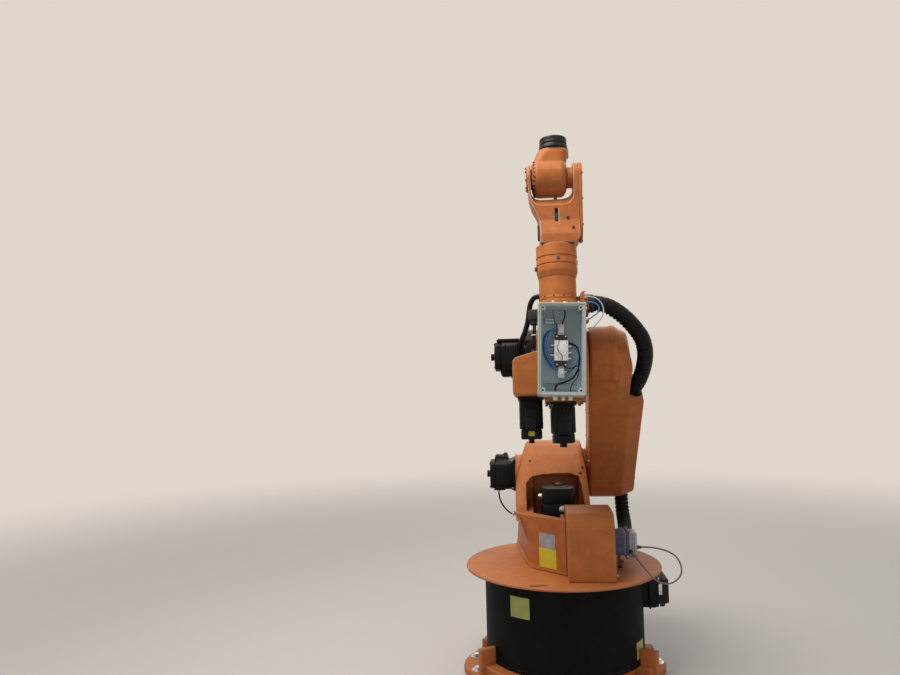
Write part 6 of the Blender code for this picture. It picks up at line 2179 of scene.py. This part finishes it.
    def valve(self) -> None:
        """Make the valve: its grey body, black end caps, coils and connectors."""
        z0 = BOX_BACK + 0.0003
        body = [block((-0.022, -0.033, z0), (0.022, 0.033, z0 + 0.034), 0.001, 0.002)]
        diamond = np.array([(0.0205, 0.0), (0.013, 0.014), (0.0, 0.0265), (-0.013, 0.014),
                            (-0.0205, 0.0), (-0.013, -0.014), (0.0, -0.0265), (0.013, -0.014)])
        body.append(prism(diamond, z0 + 0.033, z0 + 0.038, 0.0012))
        body += [block((sx * 0.0195 - 0.0025, -0.031, z0 + 0.004),
                       (sx * 0.0195 + 0.0025, 0.031, z0 + 0.0365), 0.0006, 0.001)
                 for sx in (-1, 1)]
        piece("valve_body", placed(body, BOX), VALVE_GREY, "upper_arm",
              "valve_metal", ("valve_block",))
        caps = []
        for s in (-1, 1):
            low, high = sorted((s * 0.0328, s * 0.050))
            caps.append(block((-0.018, low, z0 + 0.004), (0.018, high, z0 + 0.032), 0.0012, 0.003))
            caps.append(block((-0.0085, low - 0.0006, z0 + 0.031),
                              (0.0085, high + 0.0006, z0 + 0.0345), 0.0008, 0.002))
        piece("valve_caps", placed(caps, BOX), BLACK_PLASTIC, "upper_arm", "black_plastic")
        coils = []
        for s in (-1, 1):
            low, high = sorted((s * 0.0495, s * 0.0862))
            mid = (low + high) / 2
            coils.append(block((-0.010, low, z0 + 0.006), (0.010, high, z0 + 0.026), 0.001, 0.003))
            coils.append(block((-0.0075, mid - 0.011, z0 + 0.025), (0.0075, mid + 0.011,
                                                                    z0 + 0.030), 0.001, 0.002))
            coils.append(lathe([(0.0, 0.0315), (0.0032, 0.0315), (0.0034, 0.029), (0.0, 0.029)],
                               0.0004, 18).within(WORLD.at(0.0, mid + s * 0.004, z0)))
        piece("valve_coils", placed(coils, BOX), WHITE_PLASTIC, "upper_arm", "grey_box")
        screws = [(sx * 0.0165, sy * 0.0285, z0 + 0.0338) for sx, sy in CORNERS]
        screws += [(sx * 0.0135, sy * 0.0455, z0 + 0.0318) for sx, sy in CORNERS]
        piece("valve_screws", standing(cap_screw(0.0028, 0.6), BOX, screws), ZINC, "upper_arm",
              "silver_plug")

    def fittings(self) -> None:
        """Make the air fittings on the valve and the glands through the box's walls."""
        shells = []
        for sx, y, z in ((-1, 0.018, 0.024), (1, 0.014, 0.026), (1, -0.006, 0.026),
                         (1, -0.024, 0.024), (-1, -0.014, 0.024)):
            spot = BOX.facing((sx * 0.0218, y, z), (sx, 0, 0), AHEAD)
            shells.append(push_fitting(0.0044, 0.0125).within(spot))
        for sx, y, z in ((-1, 0.066, 0.022), (-1, -0.058, 0.022), (1, -0.067, 0.022)):
            spot = BOX.facing((sx * 0.0098, y, z), (sx, 0, 0), AHEAD)
            shells.append(push_fitting(0.0036, 0.0095).within(spot))
        piece("air_fittings", shells, STEEL, "upper_arm", "silver_plug")
        top = BOX_H / 2
        glands = []
        for sy, spots in ((1, ((0.012, 0.030, 0.0058), (-0.026, 0.040, 0.0050))),
                          (-1, ((-0.018, 0.030, 0.0060), (0.028, 0.040, 0.0052),
                                (0.006, 0.034, 0.0046)))):
            for x, z, r in spots:
                outside = BOX.facing((x, sy * (top - 0.0002), z), (0, sy, 0), RIGHT)
                inside = BOX.facing((x, sy * (top - BOX_WALL + 0.0006), z), (0, -sy, 0), RIGHT)
                glands.append(gland(r * 1.25, 0.0125).within(outside))
                glands.append(prism(circle(r * 1.35, 6), 0.0, 0.0035, 0.0003).within(inside))
        for y, z in ((0.066, 0.036), (0.105, 0.024)):
            side = BOX.facing((BOX_W / 2 - 0.0003, y, z), RIGHT, AHEAD)
            glands.append(push_fitting(0.0042, 0.011).within(side))
        piece("box_glands", glands, ZINC, "upper_arm", "silver_plug")


@dataclass
class UpperArm:
    """Housing, tube and collar of the upper arm, with its motors and clamp."""

    tube_r: float = 0.0625
    tube_end: float = 0.242
    collar_r: float = 0.069
    collar_end: float = 0.356
    grooves: tuple = (0.043, 0.069)

    def build(self) -> None:
        """Make the castings, the tube, the motors, the clamp and the valve box."""
        casting("arm_housing_cast", "arm_housing", ORANGE, "upper_arm", "orange_casting", 0.0027,
                7, 0.6)
        casting("motor_flange_cast", "motor_flange", ORANGE, "upper_arm", "orange_casting",
                0.0022, 3, 0.6)
        casting("a3_gear_cast", "a3_gear", ORANGE, "upper_arm", "orange_casting", 0.0024, 3, 0.6)
        self.tube()
        self.housing_bolts()
        self.motors()
        self.clamp()
        ValveBox().build()

    def tube(self) -> None:
        """Make the tube and the collar, with its light-edged grooves, screws and stub."""
        start = HOUSING_FRONT + TOUCH
        end = self.tube_end
        r = self.tube_r
        profile = softened([(0.0, end), (r, end), (r, start + 0.010), (r + 0.0015, start + 0.008),
                            (r + 0.0015, start), (0.0, start)], 0.0012)
        piece("arm_tube_skin", turned(profile, 96).within(FORK), ORANGE, "upper_arm",
              "orange_casting", ("arm_tube",))
        low, big, top = end + TOUCH, self.collar_r, self.collar_end
        points = [(0.0, top), (big - 0.004, top), (big, top - 0.004)]
        for down in self.grooves:
            z = top - down
            points += [(big, z + 0.0026), (big + 0.0009, z + 0.0022), (big + 0.0009, z + 0.0004),
                       (big - 0.0022, z + 0.0002), (big - 0.0022, z - 0.0024),
                       (big, z - 0.0026)]
        points += [(big, low + 0.020), (r + 0.001, low + 0.001), (r, low), (0.0, low)]
        piece("arm_collar_skin", lathe(points, 0.0006, 96, 2).within(FORK), ORANGE,
              "upper_arm", "orange_casting", ("arm_collar",))
        ring = FORK.facing((0.0, 0.0, top - 0.056), UP)
        plugs = [lathe([(0.0, 0.0016), (0.0052, 0.0016), (0.0060, 0.0), (0.0, -0.001)], 0.0005, 20).within(
            ring.facing((big * math.sin(a), -big * math.cos(a), 0.0),
                        (math.sin(a), -math.cos(a), 0.0), UP))
            for a in np.radians((2.0, 92.0, 182.0))]
        stub = FORK.facing((-big + 0.001, -0.012, top - 0.080), LEFT, UP)
        plugs.append(hex_bolt(0.0085).within(stub))
        piece("collar_plugs", plugs, DARK_STEEL, "upper_arm", "orange_casting")
        low_ring = FORK.at(0.0, 0.0, start + 0.0085)
        piece("tube_screws", ring_of(cap_screw(0.0042, 0.5), low_ring, r + 0.0002, 12, 15.0),
              DARK_STEEL, "upper_arm", "orange_casting")

    def housing_bolts(self) -> None:
        """Make the bolts round the pivot barrel and on the motors' plate."""
        shells = []
        left = ARM.facing((-0.1149, 0.0, 0.0), LEFT, UP)
        shells += ring_of(cap_screw(0.006, 0.6), left, 0.0855, 12, 15.0)
        rear = ARM.facing((0.0, 0.0, PLATE_REAR + 0.0004), DOWN, RIGHT)
        spots = [(x, -y, 0.0) for x, y in ((-0.046, -0.216), (0.069, -0.216), (-0.046, -0.117),
                                           (0.069, -0.117), (-0.046, -0.019), (0.069, -0.019))]
        shells += standing(cap_screw(0.0062, 0.8), rear, spots)
        piece("housing_bolts", shells, DARK_STEEL, "upper_arm", "orange_casting")
        shells = [block((-0.1010, -0.188, 0.100), (-0.0655, -0.142, 0.135), 0.0012, 0.005),
                  block((-0.0960, -0.184, 0.086), (-0.0660, -0.150, 0.101), 0.0012, 0.005)]
        shells += [cap_screw(0.0042, 0.6).within(ARM.facing((-0.1008, y, 0.118), LEFT,
                                                            AHEAD))
                   for y in (-0.178, -0.152)]
        piece("cable_bracket", [s.within(ARM) for s in shells[:2]] + shells[2:], BLACK_PLASTIC,
              "upper_arm", "black_plastic")
        foot = ARM.facing((-0.0850, -0.1755, -0.0125), UP, AHEAD)
        collar = lathe([(0.0065, 0.012), (0.0095, 0.012), (0.0110, 0.009), (0.0110, 0.0),
                        (0.0, 0.0)], 0.001, 28)
        piece("cable_collar", collar.within(foot), BLACK_PLASTIC, "upper_arm", "black_plastic")
        tie = lathe([(0.0082, -0.0022), (0.0095, -0.0022), (0.0095, 0.0022), (0.0082, 0.0022),
                     (0.0082, -0.0022)], 0.0004, 32, 2)
        around = ARM.facing((-0.0835, -0.1720, 0.050), UP, AHEAD)
        piece("cable_tie", tie.within(around), WHITE_PLASTIC, "upper_arm", "pale_tube")
        lugs = []
        for x in (-0.036, 0.030, 0.060):
            lugs.append(block((x - 0.007, -0.2245, PLATE_REAR + 0.001),
                              (x + 0.007, -0.2205, PLATE_REAR + 0.020), 0.0008, 0.002))
        piece("plate_lugs", placed(lugs, ARM), ORANGE, "upper_arm", "orange_casting")

    def motors(self) -> None:
        """Make the third motor and the three wrist motors."""
        side = ARM.facing((-0.115, 0.0, 0.0), LEFT, DOWN)
        ServoMotor("a3_motor", 0.114, 0.108, side, "upper_arm", plate=True,
                   plug=BLACK_PLASTIC).build()
        left = ARM.facing((-0.1015, -0.125, HOUSING_REAR), DOWN, BACK)
        ServoMotor("wrist_motor_left", 0.086, 0.140, left, "upper_arm").build()
        middle = ARM.facing((0.003, -0.176, PLATE_REAR), DOWN, BACK)
        ServoMotor("wrist_motor_middle", 0.084, 0.132, middle, "upper_arm", Case.RIBBED).build()
        inner = ARM.facing((0.003, -0.064, PLATE_REAR), DOWN, AHEAD)
        ServoMotor("wrist_motor_inner", 0.084, 0.132, inner, "upper_arm", Case.RIBBED).build()
        spot = left.facing((0.0349, 0.0, 0.1225), RIGHT, AHEAD)
        patch = prism(soft_box(0.020, 0.016, 0.002), 0.0, 0.0007, 0.0001)
        piece("left_motor_patch", patch.within(spot), YELLOW_PATCH, "upper_arm", "grey_plug")
        sleeve = ARM.facing((-0.1147, 0.0, 0.0), RIGHT, AHEAD)
        ring = lathe([(0.0935, 0.036), (0.0950, 0.036), (0.0958, 0.034), (0.0958, 0.002),
                      (0.0950, 0.0), (0.0935, 0.0), (0.0935, 0.036)], 0.0006, 72, 2)
        piece("barrel_sleeve", ring.within(sleeve), BLACK, "upper_arm", "black_motor")

    def clamp(self) -> None:
        """Make the hose clamp, its bolts, the hose's collar and the tubes' fittings."""
        casting("hose_clamp_cast", "hose_clamp", ORANGE, "upper_arm", "orange_casting", 0.0018,
                3, 0.6)
        bolts = [(0.085, 0.134), (0.091, 0.182)]
        front = ARM.facing((0.0, -0.193, 0.0), BACK, RIGHT)
        shells = [hex_bolt(0.0055).within(front.at(x, z, -0.0004)) for x, z in bolts]
        piece("clamp_bolts", shells, ZINC, "upper_arm", "orange_casting")
        collar = ARM.facing((0.0982, -0.163, 0.153), RIGHT, AHEAD)
        ring = lathe([(0.0270, 0.018), (0.0300, 0.018), (0.0312, 0.014), (0.0312, 0.010),
                      (0.0298, 0.009), (0.0298, 0.006), (0.0318, 0.005), (0.0318, 0.0), (0.0, 0.0)],
                     0.0008, 44)
        piece("hose_collar", ring.within(collar), BLACK_PLASTIC, "upper_arm", "black_plastic")
        fittings = [push_fitting(0.0042, 0.010).within(
            ARM.facing((0.088, -0.1928, z), BACK, RIGHT)) for z in (0.168, 0.148)]
        piece("clamp_fittings", fittings, STEEL, "upper_arm", "silver_plug")


@dataclass
class ForkAndWrist:
    """Fork, wrist and flange."""

    reach: float = 0.600
    neck_low: float = 0.3563

    def build(self) -> None:
        """Make the fork, the covers, the wrist and the flange."""
        casting("fork_cast", "fork_casting", SCUFFED, "fork", "orange_casting", 0.0022, 5, 0.6,
                added=[self.valley_fillet(0.0640, 0.040, -1.0),
                       self.valley_fillet(-0.0800, 0.031, 1.0)])
        casting("wrist_cast", "wrist_housing", SCUFFED, "wrist", "orange_casting", 0.0020, 5, 0.6)
        self.covers()
        self.fork_screws()
        self.wrist_screws()
        self.flange()

    @staticmethod
    def valley_fillet(wall: float, radius: float, way: float) -> Shell:
        """Return a quarter-round fillet between the valley's floor and an ear's inner face.

        Its section is a square corner less a quarter circle of that radius, carried across the
        fork's ridge.

        Args:
            wall: x of the ear's inner face in the fork's space.
            radius: radius of the round.
            way: +1 where the valley is on the face's +x side, otherwise -1.
        """
        floor, deep = 0.5205, 0.003
        a = np.linspace(0.0, math.pi / 2, 13)
        arc = np.stack([wall + way * radius * (1.0 - np.cos(a)),
                        floor + radius * (1.0 - np.sin(a))], axis=1)
        corner = np.array([(wall + way * radius, floor - deep), (wall - way * deep, floor - deep),
                           (wall - way * deep, floor + radius)])
        outline = np.concatenate([arc, corner])
        rings = [np.stack([outline[:, 0], np.full(len(outline), y), outline[:, 1]], axis=1)
                 for y in (-0.0165, 0.0165)]
        return skin(np.stack(rings), wrap_columns=True, caps=True).within(FORK)

    def covers(self) -> None:
        """Make the belt cover, the ear cover and the neck's oval cover."""
        r, t = 0.051, 0.0137
        slim = 0.42
        low = self.reach + r - 0.284 + r
        outline = oval(r, self.reach - low, 24)
        side = FORK.facing((0.0813, 0.0, (self.reach + low) / 2), RIGHT, AHEAD)
        shells = [prism(outline, 0.0, t - 0.0035, 0.0005),
                  prism(inset(outline, 0.0006), t - 0.0036, t, 0.0032, 4),
                  prism(inset(outline, 0.012), t - 0.001, t + 0.0009, 0.0008)]
        long = self.reach - low + 2 * r
        for shell in shells:
            shell.points[:, 2] *= 1.0 - slim * (0.5 - shell.points[:, 1] / long)
        piece("belt_cover_skin", placed(shells, side), ORANGE, "fork",
              "orange_casting", ("belt_cover",))
        run = self.reach - low
        spots = []
        for y, z in ((0.0, r - 0.006), (r - 0.006, 0.0), (-r + 0.006, 0.0)):
            spots += [(y, run / 2 + abs(z), t), (y, -run / 2 - abs(z), t)]
        spots += [(sy * (r - 0.006), 0.0, t) for sy in (-1, 1)]
        spots = [(u, v, w * (1.0 - slim * (0.5 - v / long))) for u, v, w in spots]
        piece("belt_cover_screws", standing(cap_screw(0.0040, 0.6), side, spots), DARK_STEEL,
              "fork", "orange_casting")
        ear = FORK.facing((-0.0913, 0.0, self.reach), LEFT, UP)
        disc = lathe([(0.0, 0.0048), (0.016, 0.0048), (0.018, 0.0036), (0.038, 0.0036),
                      (0.044, 0.0024), (0.044, 0.0), (0.0, 0.0)], 0.0007, 64)
        piece("ear_cover_skin", disc.within(ear), ORANGE, "fork", "orange_casting",
              ("ear_cover",))
        spots = ring_of(hex_bolt(0.0044, False), ear.at(0, 0, 0.0030), 0.038, 8, 22.5)
        piece("ear_cover_screws", spots, DARK_STEEL, "fork", "orange_casting")
        neck = FORK.facing((-0.0548, 0.0, self.neck_low + 0.051), LEFT, AHEAD)
        cover = [prism(oval(0.014, 0.030, 14), 0.0, 0.0045, 0.0008),
                 prism(oval(0.0115, 0.030, 14), 0.0040, 0.006, 0.0010)]
        piece("neck_cover_skin", placed(cover, neck), BLACK_PLASTIC, "fork",
              "black_plastic", ("neck_cover",))
        piece("neck_cover_screws", standing(cap_screw(0.0034, 0.5), neck,
                                            [(0, 0.0225, 0.0052), (0, -0.0225, 0.0052)]),
              DARK_STEEL, "fork", "black_plastic")

    def fork_screws(self) -> None:
        """Make the screws on the fork's face and the round plug in its valley."""
        shells = []
        for x, z, size in ((0.041, 0.445, 0.0058), (0.057, 0.407, 0.0058)):
            for sy in (-1.0, 1.0):
                start = FORK.put((x, sy * 0.2, z))
                spot = seat("fork_casting", tuple(start), tuple(-sy * FORK.axes[1]))
                shells.append(cap_screw(size, 0.7).within(spot))
        piece("fork_screws", shells, DARK_STEEL, "fork", "orange_casting")
        top = FORK.facing((0.0035, 0.0, 0.5213), UP)
        plug = lathe([(0.0, 0.0085), (0.0045, 0.0085), (0.006, 0.007), (0.006, 0.0), (0.0, 0.0)],
                     0.001, 24)
        piece("valley_plug_skin", plug.within(top), BLACK_PLASTIC, "fork", "black_plastic",
              ("valley_plug",))
        inside = FORK.facing((0.0035, 0.0, self.neck_low + 0.0775), UP)
        post = [block((-0.0068, -0.040, -0.001), (0.0068, 0.040, 0.028), 0.0008, 0.002),
                turned([(0.0, 0.020), (0.0032, 0.020), (0.0032, 0.010), (0.0, 0.010)], 16)]
        piece("slot_block", placed(post, inside), BLACK_PLASTIC, "fork", "black_plastic")

    def wrist_screws(self) -> None:
        """Make the rings of small screws on the wrist's ends and round its neck."""
        left = WRIST.facing((-0.0735, 0.0, 0.0), LEFT, UP)
        right = WRIST.facing((0.0402, 0.0, 0.0), RIGHT, UP)
        shells = ring_of(cap_screw(0.0042, 0.5), left, 0.046, 12, 15.0)
        shells += ring_of(cap_screw(0.0042, 0.5), right, 0.046, 12, 15.0)
        for k in range(24):
            turn = 100.0 + 15.0 * k
            a = math.radians(turn)
            if not 60.0 < turn % 360.0 < 120.0:
                start = WRIST.put((-0.0680, 0.2 * math.cos(a), 0.2 * math.sin(a)))
                inward = WRIST.put((-0.0680, 0.0, 0.0)) - start
                spot = seat("wrist_housing", tuple(start), tuple(inward))
                shells.append(cap_screw(0.0046, 0.5).within(spot))
        piece("wrist_screws", shells, DARK_STEEL, "wrist", "orange_casting")
        band = circle(0.0530, 80) * np.array([1.0, 0.82])
        rim = prism(band, 0.0740, 0.0992, 0.0020, 3)
        piece("wrist_neck_band", rim.within(WRIST.at(0.0012, 0.0, 0.0)),
              SCUFFED, "wrist", "orange_casting")

    def flange(self) -> None:
        """Make the tool flange: dark adapter, parting groove, ring, bolts and bore."""
        at = WRIST.at(0.002, 0.0, 0.0)
        r, low, high = 0.0475, 0.100, 0.140
        profile = [(0.0, high - 0.006), (0.0315, high - 0.006), (0.0315, high),
                   (r - 0.001, high), (r, high - 0.001), (r, high - 0.010),
                   (r - 0.0012, high - 0.011), (r - 0.0012, high - 0.013), (r, high - 0.014),
                   (r, high - 0.022), (r - 0.0035, high - 0.0235), (r - 0.0035, high - 0.025),
                   (r + 0.0022, high - 0.0265), (r + 0.0030, low + 0.002), (r + 0.0022, low),
                   (0.0, low)]
        piece("tool_flange_skin", lathe(profile, 0.0006, 96, 2).within(at),
              FLANGE_BLACK, "flange", "black_flange", ("tool_flange",))
        face = at.at(0.0, 0.0, high - 0.0004)
        # Near-black discs on the face stand for its threaded holes: painted shade, as no hole is cut.
        holes = turned([(0.0, 0.0006), (0.0031, 0.0006), (0.0031, -0.001), (0.0, -0.001)], 18)
        piece("flange_holes", ring_of(holes, face, 0.0385, 7, 22.5, 315.0), PAINTED_BORE_SHADE, "flange",
              "black_flange")
        pin = lathe([(0.0, 0.0012), (0.0028, 0.0012), (0.0030, 0.0), (0.0, 0.0)], 0.0004, 18)
        bolts = ring_of(cap_screw(0.0050, 0.9), at.at(0.0, 0.0, high - 0.0062), 0.0235, 8)
        piece("flange_bolts", [*bolts, pin.within(face.at(0.0385, 0.0, 0.0))],
              ZINC, "flange", "silver_plug")


def dress_nodes() -> None:
    """Give every node that still shows its own finish."""
    finishes = {"orange_casting": ORANGE, "black_drum": DRUM_BLACK, "black_motor": BLACK,
                "black_flange": FLANGE_BLACK, "grey_box": ENAMEL, "grey_plug": BLUE_GREY,
                "silver_plug": ALUMINIUM, "black_hose": HOSE, "thin_cable": WIRE,
                "blue_tube": BLUE_TUBE, "pale_tube": GREY_TUBE, "black_plastic": BLACK_PLASTIC,
                "valve_metal": ALUMINIUM}
    for row in frame["record"]["subparts"]:
        node = frame["nodes"][row["node"]]
        node.data.materials.clear()
        node.data.materials.append(finishes[row["material_slot"]].shader())


def main() -> None:
    """Build the studio and each sub-assembly, and report the pieces."""
    logging.basicConfig(level=logging.INFO, format="%(message)s")
    Studio().build()
    Cords().build()
    dress_nodes()
    for part in (FootAndDrum(), Column(), LinkArm(), UpperArm(), ForkAndWrist()):
        part.build()
    with open("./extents.json", "w") as out:
        json.dump({"cad": CAD_BOX, "visual": [list(c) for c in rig.bounds()]}, out)


if __name__ == "__main__":
    main()
